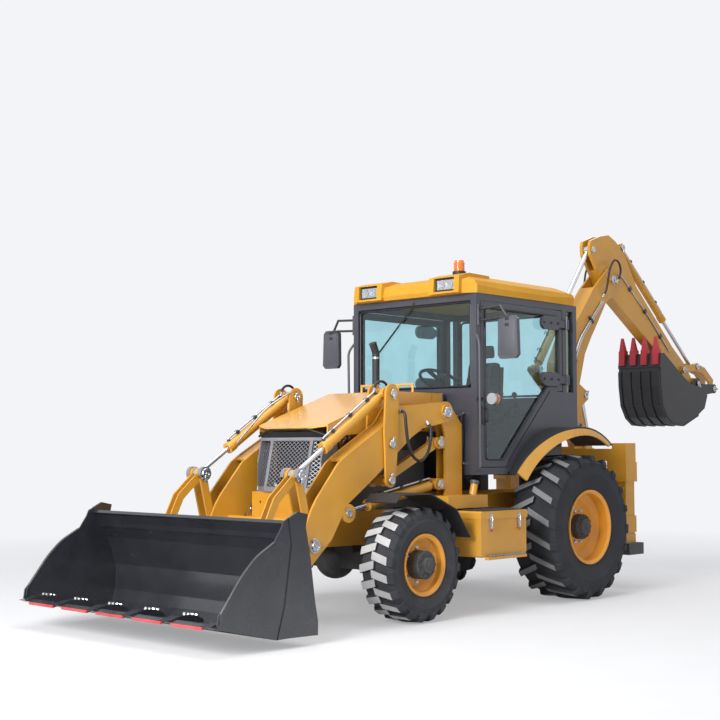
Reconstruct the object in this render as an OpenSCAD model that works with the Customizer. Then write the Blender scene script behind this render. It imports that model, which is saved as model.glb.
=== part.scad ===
// Backhoe loader: front loader with a level-lift linkage, closed cab, side-shift backhoe.
// Millimetres. X points to the loader bucket, Y to the machine's left, Z up, ground at Z = 0.

/* [Output] */
// Which node to draw, or all of them

/* [Layout] */
// X of the rear axle in the part's frame
rear_axle_x = -170; // [-220:10:-120]
// Front axle ahead of the rear axle
wheelbase = 2200; // [2180:5:2230]
// Loaded radius of a front wheel, out to the lugs
front_wheel_r = 450; // [440:2:454]
// Loaded radius of a rear wheel, out to the lugs
rear_wheel_r = 650; // [630:2:660]
// Front tyre section width
front_tyre_w = 345; // [330:5:350]
// Rear tyre section width
rear_tyre_w = 490; // [460:5:495]
// Middle plane of the front wheels from the centre line
front_track_half = 830; // [826:2:840]
// Middle plane of the rear wheels from the centre line
rear_track_half = 832; // [830:2:845]
// Steering pivot from the centre line
kingpin_y = 720; // [715:1:724]

/* [Wheels] */
// Front rim diameter over its flanges
front_rim_d = 484; // [470:2:490]
// Rear rim diameter over its flanges
rear_rim_d = 664; // [650:2:670]
// Height of a front tread lug
front_lug_h = 24; // [18:1:28]
// Height of a rear tread lug
rear_lug_h = 36; // [26:1:42]
// Lugs in one row of a front tyre
front_lug_count = 20; // [18:1:22]
// Lugs in one row of a rear tyre
rear_lug_count = 20; // [18:1:22]
// Wheel disc thickness
wheel_disc_t = 14; // [10:1:18]
// Bore of the wheel disc on its hub
hub_bore_d = 224; // [200:2:230]

/* [Chassis] */
// Height of the frame rails' underside
rail_bottom_z = 520; // [500:5:540]
// Depth of the frame rails
rail_h = 330; // [300:5:340]
// Outer face of a frame rail from the centre line
rail_y = 330; // [320:2:340]
// Frame rail plate thickness
rail_t = 30; // [20:1:40]
// Front end of the frame, from the rear axle
nose_x = 2790; // [2760:5:2800]

/* [Loader frame] */
// Middle plane of a loader arm from the centre line
arm_y = 555; // [553:1:557]
// Loader arm pivot, from the rear axle
arm_pin_x = 1520; // [1510:2:1530]
// Height of the loader arm pivot
arm_pin_z = 1660; // [1650:2:1670]
// Loader post side plate thickness
post_t = 20; // [16:1:22]
// Clear width between the two plates of a loader post
post_gap = 60; // [58:1:62]

/* [Loader arms] */
// Arm side plate thickness
arm_t = 20; // [16:1:22]
// Clear width between the two plates of an arm
arm_gap = 120; // [118:1:122]
// Tilt lever plate thickness
lever_t = 18; // [14:1:18]
// Clear width between the plates of a tilt lever
lever_gap = 172; // [170:1:174]
// Guide lever plate thickness
guide_t = 16; // [12:1:16]
// Clear width between the plates of a guide lever
guide_gap = 76; // [75:1:80]
// Loader pin diameter
pin_d = 50; // [44:2:54]
// Loader arm pivot pin diameter
arm_pin_d = 70; // [60:2:74]
// Radial clearance of a pin in its bore
pin_fit = 0.1; // [0.05:0.01:0.1]
// Loader cylinder barrel diameter
loader_barrel_d = 86; // [76:2:88]
// Loader cylinder rod diameter
loader_rod_d = 45; // [36:1:46]

/* [Loader bucket] */
// Bucket width over its side plates
bucket_w = 2300; // [2200:10:2340]
// Bucket shell plate thickness
bucket_t = 16; // [12:1:20]
// Bucket side plate thickness
bucket_side_t = 20; // [16:1:24]
// Teeth on the loader bucket's edge
bucket_teeth = 6; // [6:1:7]

/* [Cab] */
// Cab half width over its side panels
cab_half_w = 725; // [715:1:730]
// Height of the cab floor's underside
cab_floor_z = 1130; // [1110:5:1140]
// Height of the roof's lower edge
roof_z = 2680; // [2660:5:2700]
// Front face of the cab, from the rear axle
cab_front_x = 1225; // [1215:1:1230]
// Rear face of the cab, from the rear axle
cab_rear_x = -290; // [-310:2:-280]
// Cab pillar width
pillar_w = 60; // [50:1:64]
// Glass thickness
glass_t = 6; // [5:0.5:8]
// Door thickness
door_t = 36; // [30:1:40]
// Gap around a door
door_gap = 6; // [5:0.5:8]

/* [Hood] */
// Hood half width
hood_half_w = 400; // [390:1:410]
// Hood plate thickness
hood_t = 8; // [6:1:12]
// Pitch of the grille bars
grille_pitch = 46; // [40:2:60]

/* [Backhoe] */
// Rear frame half width over the stabilizer housings
rear_frame_half_w = 800; // [780:5:820]
// Stabilizer housing size along X
housing_x = 180; // [170:2:190]
// Stabilizer housing size along Y
housing_y = 156; // [150:2:164]
// Play of a stabilizer leg in its housing and of the carriage on its rails
slide_play = 0.4; // [0.3:0.1:1]
// Swing pivot, from the rear axle
swing_x = -1330; // [-1336:1:-1326]
// Boom width
boom_w = 190; // [180:2:200]
// Dipper width
dipper_w = 130; // [120:2:134]
// Dig bucket width over its side plates
dig_bucket_w = 530; // [500:5:560]
// Backhoe pin diameter
backhoe_pin_d = 50; // [44:2:54]
// Backhoe cylinder barrel diameter
backhoe_barrel_d = 92; // [84:2:96]
// Backhoe cylinder rod diameter
backhoe_rod_d = 50; // [42:2:52]
// Teeth on the dig bucket
dig_teeth = 4; // [4:1:5]

/* [Hidden] */
$fn = 48;
yellow = "#f0a818";
dark = "#2b2d30";
grey = "#4a4d52";
black = "#1b1c1e";
steel = "#b9bcc0";
glass_tint = "#9fc4c0";
rim_orange = "#f29a1c";
amber = "#f08010";

bore_d = pin_d + 2 * pin_fit;
front_rim_w = front_tyre_w - 40;
rear_rim_w = rear_tyre_w - 50;
door_hinge = [-100, cab_half_w + 23];
bead_drop = 20;
flange_t = 12;
hub_play = 0.3;
axle_tube_d = 190;
frame_rear_x = -1000;
carriage_x = frame_rear_x - 150 - slide_play;
swing_pin_d = 90;
rail_low_z = 560;
rail_high_z = 1230;
housing_wall = 12;
housing_rear_x = frame_rear_x - housing_x;
well_y = 546;
floor_t = 60;
fender_r = 925;
fender_z = 625;
fender_t = 16;
trim_depth = 105;
door_heel = [fender_r - 155, fender_z + 637];
door_sill = [150, fender_r + 955];
arch_gap = 0.5;
roof_h = 205;
roof_half_w = cab_half_w + 15;
roof_base_z = roof_z + 10;
lamp_y = 450;
lamp_w = 190;
lamp_h = 84;
lamp_fit = 18;
lamp_back_x = cab_front_x + 50;
grille_tilt = atan(93 / 448);
nose_top_z = 1005;
grille_z = nose_top_z + 6;
grille_half_w = 372;
grille_flat = 230;
box_seam_z = 790;
beacon = [1000, 360];
beacon_z = roof_base_z + 188;
rod_bore_d = backhoe_pin_d + 2 * pin_fit;
doubler_t = 8;
boss_d = 112;
bucket_lug_gap = 80;
rib_h = 14;

// Loader linkage points, [x, z] from the rear axle on the ground
arm_pin = [arm_pin_x, arm_pin_z];
link_rear = arm_pin + [58, -260];
lift_rear = arm_pin + [60, -602];
lever_mid = arm_pin + [716, -270];
lever_top = arm_pin + [701, 137];
lever_low = arm_pin + [722, -560];
lift_front = arm_pin + [1177, -804];
guide_low = arm_pin + [1556, -1035];
guide_top = arm_pin + [1691, -505];
bucket_pin = arm_pin + [1950, -1415];
bucket_top = arm_pin + [2020, -1070];

// Loader bucket plate from its lip to its top edge
bucket_lip = bucket_pin + [970, -45];
bucket_section = [bucket_lip, bucket_pin + [445, -168], bucket_pin + [230, -166], bucket_pin + [150, -110],
    bucket_pin + [118, -20], bucket_pin + [118, 180], bucket_pin + [190, 400], bucket_pin + [330, 605]];

// Backhoe points, [x, z] from the rear axle on the ground
boom_foot = [swing_x - 170, 660];
boom_ram_low = [swing_x - 500, 520];
boom_ram_top = [swing_x - 100, 1900];
boom_tip = [swing_x - 555, 3150];
crowd_low = [swing_x + 699, 2140];
crowd_eye = [swing_x - 270, 3445];
dig_ram_low = [swing_x - 860, 3530];
rocker_pin = [swing_x - 2070, 2250];
rocker_tip = [swing_x - 2390, 2300];
dig_pin = [swing_x - 2350, 2100];
dig_link_pin = [swing_x - 2740, 2055];

// Dig bucket plate from its lip round the heel to its back
dig_section = [dig_pin + [1068, 290], dig_pin + [1090, 100], dig_pin + [1085, -60], dig_pin + [1050, -270],
    dig_pin + [960, -400], dig_pin + [840, -470], dig_pin + [600, -480], dig_pin + [265, -360],
    dig_pin + [130, -290], dig_pin + [60, -140]];

// Everything is laid out from the rear axle's line on the ground
module at_axle() {
    translate([rear_axle_x, 0, 0])
        children();
}

module both_sides() {
    children();
    mirror([0, 1, 0])
        children();
}

// Extrudes an outline in the X-Z plane to thickness t about the plane Y = y
module slab(y, t) {
    translate([0, y + t / 2, 0])
        rotate([90, 0, 0])
            linear_extrude(t)
                children();
}

// Round bar along Y
module cross_bar(p, y, len, d) {
    translate([p[0], y + len / 2, p[1]])
        rotate([90, 0, 0])
            cylinder(d = d, h = len);
}

// Flat link outline from p to q with round ends
module link_outline(p, q, w, d1, d2) {
    v = q - p;
    len = norm(v);
    translate(p)
        circle(d = d1);
    translate(q)
        circle(d = d2);
    translate(p)
        rotate(atan2(v[1], v[0]))
            translate([0, -w / 2])
                square([len, w]);
}

// An outline's points and their mirror images in its second coordinate
function both_ways(pts) = concat(pts, [for (i = [len(pts) - 1:-1:0]) [pts[i][0], -pts[i][1]]]);

// Extrudes an outline in the Y-Z plane along X
module along_x(x, len) {
    translate([x, 0, 0])
        rotate([90, 0, 90])
            linear_extrude(len)
                children();
}

// Side step of a path at its point i: the mitre between the bars before and after it
function left_of(v) = [-v[1], v[0]] / norm(v);
function mitre(pts, i) =
    let (n1 = left_of(pts[max(i, 1)] - pts[max(i, 1) - 1]),
         n2 = left_of(pts[min(i, len(pts) - 2) + 1] - pts[min(i, len(pts) - 2)]))
    (n1 + n2) / (1 + n1 * n2);

// Band of width w along a path
module band(pts, w) {
    last = len(pts) - 1;
    polygon(concat([for (i = [0:last]) pts[i] + mitre(pts, i) * w / 2],
        [for (i = [last:-1:0]) pts[i] - mitre(pts, i) * w / 2]));
}

// Strip on the left side of a path, from a to b away from it
module side_strip(pts, a, b) {
    last = len(pts) - 1;
    polygon(concat([for (i = [0:last]) pts[i] + mitre(pts, i) * a],
        [for (i = [last:-1:0]) pts[i] + mitre(pts, i) * b]));
}

// Round bar between two points in space
module rod_between(p, q, d) {
    v = q - p;
    len = norm(v);
    translate(p)
        rotate([0, acos(v[2] / len), atan2(v[1], v[0])])
            cylinder(d = d, h = len);
}

// Pipe or hose through points, with round elbows
module pipe(pts, d) {
    for (i = [0:len(pts) - 2])
        rod_between(pts[i], pts[i + 1], d);
    for (i = [1:len(pts) - 2])
        translate(pts[i])
            sphere(d = d + 1, $fn = 24);
}

// Two plates about the plane Y = y, gap apart, each t thick
module plate_pair(y, gap, t) {
    for (side = [-1, 1])
        slab(y + side * (gap + t) / 2, t)
            children();
}

module pin_holes(points, d) {
    for (p = points)
        translate(p)
            circle(d = d);
}

// Barrel of a cylinder from its base pin towards its rod's eye, in the plane Y = y
module barrel(p, q, y, len, eye_w, eye_d, hole_d, d, rod_d) {
    a = atan2(q[1] - p[1], q[0] - p[0]);
    translate([p[0], y, p[1]])
        rotate([0, -a, 0]) {
            difference() {
                union() {
                    translate([0, eye_w / 2, 0])
                        rotate([90, 0, 0])
                            cylinder(d = eye_d, h = eye_w);
                    translate([eye_d * 0.3, 0, 0])
                        rotate([0, 90, 0])
                            cylinder(d = min(eye_w, d) - 8, h = eye_d);
                    translate([eye_d * 0.9, 0, 0])
                        rotate([0, 90, 0])
                            cylinder(d = d, h = len - eye_d * 0.9);
                    translate([len - 70, 0, 0])
                        rotate([0, 90, 0])
                            cylinder(d = d + 10, h = 70);
                }
                translate([0, eye_w / 2 + 1, 0])
                    rotate([90, 0, 0])
                        cylinder(d = hole_d, h = eye_w + 2);
                translate([eye_d * 0.7, 0, 0])
                    rotate([0, 90, 0])
                        cylinder(d = rod_d + 2 * pin_fit, h = len);
            }
        }
}

// Rod of a cylinder, its eye at q; cross is the length of the eye's own short pin
module rod(p, q, y, len, eye_w, eye_d, cross, cross_d, rod_d) {
    a = atan2(q[1] - p[1], q[0] - p[0]);
    translate([q[0], y, q[1]])
        rotate([0, -a, 0]) {
            translate([0, eye_w / 2, 0])
                rotate([90, 0, 0])
                    cylinder(d = eye_d, h = eye_w);
            translate([0, cross / 2, 0])
                rotate([90, 0, 0])
                    cylinder(d = cross_d, h = cross);
            translate([-len, 0, 0])
                rotate([0, 90, 0])
                    cylinder(d = rod_d, h = len - eye_d * 0.3);
        }
}

module chassis_frame() {
    color(yellow)
        at_axle() {
            both_sides()
                slab(rail_y - rail_t / 2, rail_t)
                    difference() {
                        polygon([[frame_rear_x, 540], [nose_x - 60, rail_bottom_z + 60],
                            [nose_x - 20, rail_bottom_z + rail_h], [1250, rail_bottom_z + rail_h],
                            [1100, rail_bottom_z + rail_h + 100], [frame_rear_x, rail_bottom_z + rail_h + 100]]);
                        translate([0, rear_wheel_r])
                            circle(d = axle_tube_d);
                    }
            // Cross members between the rails: [x, length, z, height]
            for (m = [[-960, 60, 560, 380], [560, 80, 560, 240], [1320, 90, 600, 240], [2620, 60, 620, 220]])
                translate([m[0], -rail_y + rail_t, m[2]])
                    cube([m[1], 2 * (rail_y - rail_t), m[3]]);
            // Nose plate below the grille, with four bolt holes and a towing clevis
            difference() {
                translate([nose_x - 40, -380, 640])
                    cube([40, 760, nose_top_z - 640]);
                for (y = [-280, 280])
                    for (z = [780, 920])
                        translate([nose_x - 41, y, z])
                            rotate([0, 90, 0])
                                cylinder(d = 22, h = 42);
            }
            difference() {
                for (z = [660, 760])
                    translate([nose_x - 1, -60, z])
                        cube([59, 120, 20]);
                translate([nose_x + 30, 0, 650])
                    cylinder(d = 33, h = 140);
            }
        }
}

module loader_posts() {
    color(yellow)
        at_axle()
            both_sides()
                loader_post();
}

module loader_post() {
    difference() {
        union() {
            plate_pair(arm_y, post_gap, post_t) {
                polygon([[arm_pin[0] - 240, 760], [arm_pin[0] - 240, 1560], [arm_pin[0] - 90, arm_pin[1] + 60],
                    [arm_pin[0] + 70, arm_pin[1]], [arm_pin[0] - 20, 1480], [arm_pin[0] - 20, 760]]);
                translate(arm_pin)
                    circle(d = 150);
                link_outline([arm_pin[0] - 60, link_rear[1]], link_rear, 90, 90, 96);
                link_outline([arm_pin[0] - 60, lift_rear[1]], lift_rear, 90, 90, 96);
            }
            // Rear web closing the post
            slab(arm_y, post_gap)
                polygon([[arm_pin[0] - 240, 760], [arm_pin[0] - 240, 1560], [arm_pin[0] - 220, 1560],
                    [arm_pin[0] - 220, 800], [arm_pin[0] - 20, 800], [arm_pin[0] - 20, 760]]);
            // Bracket from the frame rail out to the post
            translate([arm_pin[0] - 240, rail_y, 640])
                cube([220, arm_y + 45 - rail_y, 130]);
        }
        cross_bar(arm_pin, arm_y, post_gap + 2 * post_t + 2, arm_pin_d + 2 * pin_fit);
    }
    // Pins of the levelling link and of the lift cylinder
    for (p = [link_rear, lift_rear])
        cross_bar(p, arm_y, post_gap + 2 * post_t + 24, pin_d);
}

module engine_block() {
    color(grey)
        at_axle()
            translate([1420, -(rail_y - rail_t), 700])
                cube([900, 2 * (rail_y - rail_t), 640]);
}

module axle_housings() {
    color(dark)
        at_axle() {
            // Front beam on its pivot under the frame
            translate([wheelbase - 80, -(kingpin_y - 90), front_wheel_r - 70])
                cube([160, 2 * (kingpin_y - 90), 140]);
            translate([wheelbase, 0, front_wheel_r])
                sphere(d = 340);
            both_sides()
                front_yoke();
            // Rear axle tube and its final drive housings
            cross_bar([0, rear_wheel_r], 0, 2 * (rear_track_half - 160), axle_tube_d);
            translate([0, 0, rear_wheel_r])
                sphere(d = 420);
            both_sides()
                cross_bar([0, rear_wheel_r], rear_track_half - 20, 300, hub_bore_d - 2 * hub_play);
            translate([-110, -rail_y + rail_t, rear_wheel_r])
                cube([220, 2 * (rail_y - rail_t), 120]);
            translate([wheelbase - 110, -rail_y + rail_t, front_wheel_r + 60])
                cube([220, 2 * (rail_y - rail_t), 120]);
        }
}

// Fork at the end of the front beam, which holds the knuckle's kingpin
module front_yoke() {
    difference() {
        union() {
            for (z = [-1, 1])
                translate([wheelbase, kingpin_y, front_wheel_r + z * 95 - 15])
                    cylinder(d = 110, h = 30);
            for (z = [-1, 1])
                translate([wheelbase - 55, kingpin_y - 110, front_wheel_r + z * 95 - 15])
                    cube([110, 110, 30]);
            translate([wheelbase - 70, kingpin_y - 110, front_wheel_r - 110])
                cube([140, 24, 220]);
        }
        translate([wheelbase, kingpin_y, front_wheel_r - 130])
            cylinder(d = bore_d, h = 260);
    }
}

// Knuckle: kingpin block, spindle and hub drum
module knuckle() {
    translate([wheelbase, kingpin_y, front_wheel_r - 74])
        cylinder(d = 100, h = 148);
    translate([wheelbase, kingpin_y, front_wheel_r - 112])
        cylinder(d = pin_d, h = 224);
    cross_bar([wheelbase, front_wheel_r], (kingpin_y + front_track_half + 60) / 2, front_track_half + 60 - kingpin_y, 90);
    cross_bar([wheelbase, front_wheel_r], front_track_half + 75, 150, hub_bore_d - 2 * hub_play);
    cross_bar([wheelbase, front_wheel_r], front_track_half + 160, 60, 120);
}

module knuckle_left() {
    color(dark)
        at_axle()
            knuckle();
}

module knuckle_right() {
    color(dark)
        at_axle()
            mirror([0, 1, 0])
                knuckle();
}

module rim(d, w, disc_y) {
    inner_r = d / 2 - bead_drop - 11;
    rotate([-90, 0, 0]) {
        rotate_extrude($fn = 96)
            polygon([[d / 2, -w / 2], [d / 2, -w / 2 + flange_t], [d / 2 - bead_drop, -w / 2 + flange_t],
                [d / 2 - bead_drop, w / 2 - flange_t], [d / 2, w / 2 - flange_t], [d / 2, w / 2], [d / 2 - 12, w / 2],
                [d / 2 - bead_drop - 12, w / 2 - flange_t - 4], [d / 2 - bead_drop - 12, -w / 2 + flange_t + 4],
                [d / 2 - 12, -w / 2]]);
        // Dished disc: flat at the hub, coned out to the rim
        rotate_extrude($fn = 96)
            polygon([[hub_bore_d / 2, disc_y], [hub_bore_d / 2, disc_y + wheel_disc_t],
                [inner_r * 0.78, disc_y + wheel_disc_t], [inner_r, disc_y + wheel_disc_t + 38],
                [inner_r, disc_y + 38], [inner_r * 0.8, disc_y]]);
    }
}

module tyre(r, w, rim_d, rim_w, lug_h, lug_count, lug_w, sweep) {
    core_r = r - lug_h;
    bead_y = rim_w / 2 - flange_t;
    mid_r = (rim_d / 2 + core_r) / 2;
    rotate([-90, 0, 0])
        rotate_extrude($fn = 96)
            polygon([[rim_d / 2 - bead_drop, -bead_y], [rim_d / 2 + 6, -bead_y], [mid_r, -w / 2],
                [core_r - 36, -w / 2 + 14], [core_r - 8, -w / 2 + 46], [core_r, 0], [core_r - 8, w / 2 - 46],
                [core_r - 36, w / 2 - 14], [mid_r, w / 2], [rim_d / 2 + 6, bead_y], [rim_d / 2 - bead_drop, bead_y]]);
    intersection() {
        rotate([-90, 0, 0])
            rotate_extrude($fn = 96)
                polygon([[core_r - 60, -w / 2 + 4], [core_r - 20, -w / 2 + 4], [r - 8, -w / 2 + 34], [r, 0],
                    [r - 8, w / 2 - 34], [core_r - 20, w / 2 - 4], [core_r - 60, w / 2 - 4]]);
        for (i = [0:lug_count - 1])
            for (side = [-1, 1])
                rotate([0, (i + (side + 1) / 4) * 360 / lug_count, 0])
                    lug(core_r, w, side, lug_h, lug_w, sweep);
    }
}

// One tread lug: a swept bar from the middle of the tread to the shoulder
module lug(core_r, w, side, lug_h, lug_w, sweep) {
    translate([-(lug_w + sweep) / 2, 0, core_r - 60])
        linear_extrude(60 + lug_h + 10)
            polygon([[0, -side * w * 0.04], [lug_w, -side * w * 0.04], [lug_w + sweep, side * w / 2],
                [sweep, side * w / 2]]);
}

module front_wheel_place(side) {
    at_axle()
        translate([wheelbase, side * front_track_half, front_wheel_r])
            children();
}

module rear_wheel_place(side) {
    at_axle()
        translate([0, side * rear_track_half, rear_wheel_r])
            children();
}

module front_tyre() {
    tyre(front_wheel_r, front_tyre_w, front_rim_d, front_rim_w, front_lug_h, front_lug_count, 62, 50);
}

module rear_tyre() {
    tyre(rear_wheel_r, rear_tyre_w, rear_rim_d, rear_rim_w, rear_lug_h, rear_lug_count, 56, 130);
}

module rim_front_left() {
    color(rim_orange)
        front_wheel_place(1)
            rim(front_rim_d, front_rim_w, 40);
}

module rim_front_right() {
    color(rim_orange)
        front_wheel_place(-1)
            mirror([0, 1, 0])
                rim(front_rim_d, front_rim_w, 40);
}

module rim_rear_left() {
    color(rim_orange)
        rear_wheel_place(1)
            rim(rear_rim_d, rear_rim_w, 60);
}

module rim_rear_right() {
    color(rim_orange)
        rear_wheel_place(-1)
            mirror([0, 1, 0])
                rim(rear_rim_d, rear_rim_w, 60);
}

module tyre_front_left() {
    color(black)
        front_wheel_place(1)
            front_tyre();
}

module tyre_front_right() {
    color(black)
        front_wheel_place(-1)
            mirror([0, 1, 0])
                front_tyre();
}

module tyre_rear_left() {
    color(black)
        rear_wheel_place(1)
            rear_tyre();
}

module tyre_rear_right() {
    color(black)
        rear_wheel_place(-1)
            mirror([0, 1, 0])
                rear_tyre();
}

module cab_frame() {
    color(dark)
        at_axle() {
            // Floor, narrow between the wheels and wide in front of them
            translate([cab_rear_x, -well_y, cab_floor_z])
                cube([cab_front_x - cab_rear_x, 2 * well_y, floor_t]);
            translate([790, -cab_half_w + door_t, cab_floor_z])
                cube([cab_front_x - 790, 2 * (cab_half_w - door_t), floor_t]);
            // Front wall
            translate([cab_front_x - 50, -cab_half_w + pillar_w, cab_floor_z + 55])
                cube([50, 2 * (cab_half_w - pillar_w), 690]);
            both_sides() {
                // Front pillar, rear pillar, top rail
                translate([cab_front_x - pillar_w, cab_half_w - pillar_w, cab_floor_z])
                    cube([pillar_w, pillar_w, roof_z - cab_floor_z + 10]);
                translate([cab_rear_x, cab_half_w - pillar_w, 1530])
                    cube([pillar_w, pillar_w, roof_z - 1520]);
                translate([cab_rear_x, cab_half_w - pillar_w, roof_z - 50])
                    cube([cab_front_x - cab_rear_x, pillar_w, 60]);
                // Door pillar
                translate([-120, cab_half_w - pillar_w, 1800])
                    cube([pillar_w, pillar_w, roof_z - 1800]);
                // Side panel between the wheel arch and the door's slanting edge
                slab(cab_half_w - pillar_w / 2, pillar_w)
                    difference() {
                        polygon([[cab_rear_x, 1150], [door_heel[0] + 22, 1150], [door_heel[0] + 22, 1204],
                            door_heel - [9, 4], door_sill - [9, 6], [cab_rear_x, door_sill[1] - 6]]);
                        translate([0, fender_z])
                            circle(r = fender_r + arch_gap, $fn = 96);
                    }
                // Inner wall of the wheel arch
                slab(well_y - 12, 24)
                    intersection() {
                        translate([0, fender_z])
                            circle(r = fender_r, $fn = 96);
                        translate([cab_rear_x, cab_floor_z])
                            square([1100, 700]);
                    }
                // Sill under the door
                translate([790, cab_half_w - pillar_w, cab_floor_z])
                    cube([cab_front_x - 790, pillar_w, floor_t]);
            }
            // Rear wall: narrow between the arches, full width above them
            translate([cab_rear_x, -well_y, cab_floor_z])
                cube([30, 2 * well_y, 385]);
            translate([cab_rear_x, -cab_half_w + pillar_w, 1515])
                cube([30, 2 * (cab_half_w - pillar_w), 285]);
            for (z = [1780, roof_z - 50])
                translate([cab_rear_x, -cab_half_w + pillar_w, z])
                    cube([50, 2 * (cab_half_w - pillar_w), 60]);
            translate([cab_front_x - 50, -cab_half_w + pillar_w, roof_z - 50])
                cube([50, 2 * (cab_half_w - pillar_w), 60]);
            // Mounts under the floor, down to the frame
            for (x = [-160, 960])
                both_sides()
                    translate([x, rail_y - 100, rail_bottom_z + rail_h + 100])
                        cube([120, 100, cab_floor_z - rail_bottom_z - rail_h - 100]);
        }
}

module cab_roof() {
    color(yellow)
        at_axle() {
            difference() {
                union() {
                    roof_cap();
                    for (side = [-1, 1])
                        slab(side * lamp_y, lamp_w + 150)
                            translate([0, roof_base_z])
                                polygon([[900, 20], [cab_front_x + 108, 4], [cab_front_x + 98, 148],
                                    [cab_front_x - 40, 184], [900, 180]]);
                }
                for (side = [-1, 1])
                    translate([lamp_back_x, side * lamp_y - lamp_w / 2 - lamp_fit, roof_base_z + 40 - lamp_fit])
                        cube([100, lamp_w + 2 * lamp_fit, lamp_h + 2 * lamp_fit]);
            }
            // Pad under the beacon
            translate([beacon[0], beacon[1], beacon_z - 40])
                cylinder(d = 140, h = 40);
            // Hatch on its raised frame
            translate([230, -330, roof_base_z + 190])
                cube([560, 660, 30]);
        }
}

// Roof cap: its side, front and plan outlines extruded through each other
module roof_cap() {
    intersection() {
        slab(0, 2 * roof_half_w)
            translate([0, roof_base_z])
                polygon([[cab_rear_x - 10, 0], [cab_front_x + 60, 0], [cab_front_x + 78, 34], [cab_front_x + 58, 120],
                    [cab_front_x - 90, 168], [700, roof_h], [150, roof_h], [-130, 168], [cab_rear_x + 20, 90]]);
        along_x(cab_rear_x - 20, cab_front_x - cab_rear_x + 120)
            translate([0, roof_base_z])
                polygon([[roof_half_w, 0], [roof_half_w, 55], [roof_half_w - 30, 110], [roof_half_w - 150, 168],
                    [roof_half_w - 330, roof_h], [330 - roof_half_w, roof_h], [150 - roof_half_w, 168],
                    [30 - roof_half_w, 110], [-roof_half_w, 55], [-roof_half_w, 0]]);
        translate([0, 0, roof_base_z])
            linear_extrude(roof_h)
                polygon(both_ways([[cab_front_x + 78, 600], [cab_front_x - 10, roof_half_w - 8], [900, roof_half_w],
                    [100, roof_half_w], [cab_rear_x + 40, roof_half_w - 12], [cab_rear_x - 10, 640]]));
    }
}

module cab_glass() {
    color(glass_tint)
        at_axle() {
            translate([cab_front_x - 30, -cab_half_w + pillar_w, 1875])
                cube([glass_t, 2 * (cab_half_w - pillar_w), roof_z - 50 - 1875]);
            translate([cab_rear_x + 20, -cab_half_w + pillar_w, 1840])
                cube([glass_t, 2 * (cab_half_w - pillar_w), roof_z - 50 - 1840]);
            both_sides()
                translate([cab_rear_x + pillar_w, cab_half_w - 33, door_sill[1] - 6])
                    cube([-120 - cab_rear_x - pillar_w, glass_t, roof_z - 44 - door_sill[1]]);
        }
}

// Door outline in the X-Z plane: rear hung, its lower rear edge slants over the wheel
module door_outline() {
    polygon([[-50, door_sill[1]], [-50, roof_z - 56], [cab_front_x - pillar_w - door_gap, roof_z - 56],
        [cab_front_x - pillar_w - door_gap, cab_floor_z + floor_t + door_gap],
        [door_heel[0] + 36, cab_floor_z + floor_t + door_gap], door_heel, door_sill]);
}

module door_window_outline() {
    polygon([[10, door_sill[1] + 45], [10, roof_z - 110], [cab_front_x - pillar_w - 60, roof_z - 110],
        [cab_front_x - pillar_w - 60, cab_floor_z + 130], [850, cab_floor_z + 130],
        door_heel + [45, 38], door_sill + [40, 45]]);
}

module door() {
    slab(cab_half_w - door_t / 2, door_t)
        difference() {
            door_outline();
            door_window_outline();
        }
    // Hinges: barrel, strap and its pad on the door
    for (z = [1985, 2500]) {
        translate([door_hinge[0], door_hinge[1], z - 45])
            cylinder(d = 40, h = 90);
        translate([door_hinge[0], door_hinge[1] - 18, z - 35])
            cube([330, 20, 70]);
        translate([-40, cab_half_w - 1, z - 35])
            cube([260, 7, 70]);
        slab(door_hinge[1], 30)
            link_outline([90, z], [250, z], 124, 124, 124);
    }
}

module door_left() {
    color(dark)
        at_axle()
            door();
}

module door_right() {
    color(dark)
        at_axle()
            mirror([0, 1, 0])
                door();
}

module door_left_glass() {
    color(glass_tint)
        at_axle()
            slab(cab_half_w - door_t / 2, glass_t)
                door_window_outline();
}

module door_right_glass() {
    color(glass_tint)
        at_axle()
            mirror([0, 1, 0])
                slab(cab_half_w - door_t / 2, glass_t)
                    door_window_outline();
}

module fenders() {
    color(black)
        at_axle()
            both_sides() {
                // Rear fender, flared from the cab's side out over the tyre
                intersection() {
                    slab((1000 + well_y) / 2, 1000 - well_y)
                        translate([0, fender_z])
                            fender_outline(fender_r, fender_t, 33, 124);
                    linear_extrude(2000)
                        fender_plan(0);
                }
                // Front mudguard on its bracket
                slab(838, 325)
                    translate([wheelbase, 0])
                        band([[360, 940], [300, 1000], [-50, 1000], [-365, 868], [-540, 640]], 10);
                translate([wheelbase - 440, rail_y, 785])
                    cube([40, 360, 30]);
            }
}

// Rear fender seen from above; step moves its outer edge in
module fender_plan(step) {
    polygon([[840, 400], [840, 768 - step], [420, 880 - step], [120, 950 - step], [-120, 975 - step],
        [-540, 955 - step], [-540, 400]]);
}

// Yellow skirt on the fender's outer edge, deepest at the front
module fender_trim() {
    color(yellow)
        at_axle()
            both_sides()
                intersection() {
                    slab((1000 + well_y) / 2, 1000 - well_y)
                        translate([0, fender_z])
                            difference() {
                                fender_outline(fender_r - fender_t, 130, 35, 122);
                                translate([-66, 28])
                                    circle(r = fender_r - trim_depth, $fn = 96);
                            }
                    linear_extrude(2000)
                        difference() {
                            fender_plan(0);
                            fender_plan(22);
                        }
                }
}

// Arc band in the X-Z plane, angles from +X
module fender_outline(r, t, from_a, to_a) {
    difference() {
        circle(r = r, $fn = 96);
        circle(r = r - t, $fn = 96);
        polygon([[0, 0], 2 * r * [cos(from_a), sin(from_a)], 2 * r * [1, -1], 2 * r * [-1, -1],
            2 * r * [cos(to_a), sin(to_a)]]);
    }
}

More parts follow.
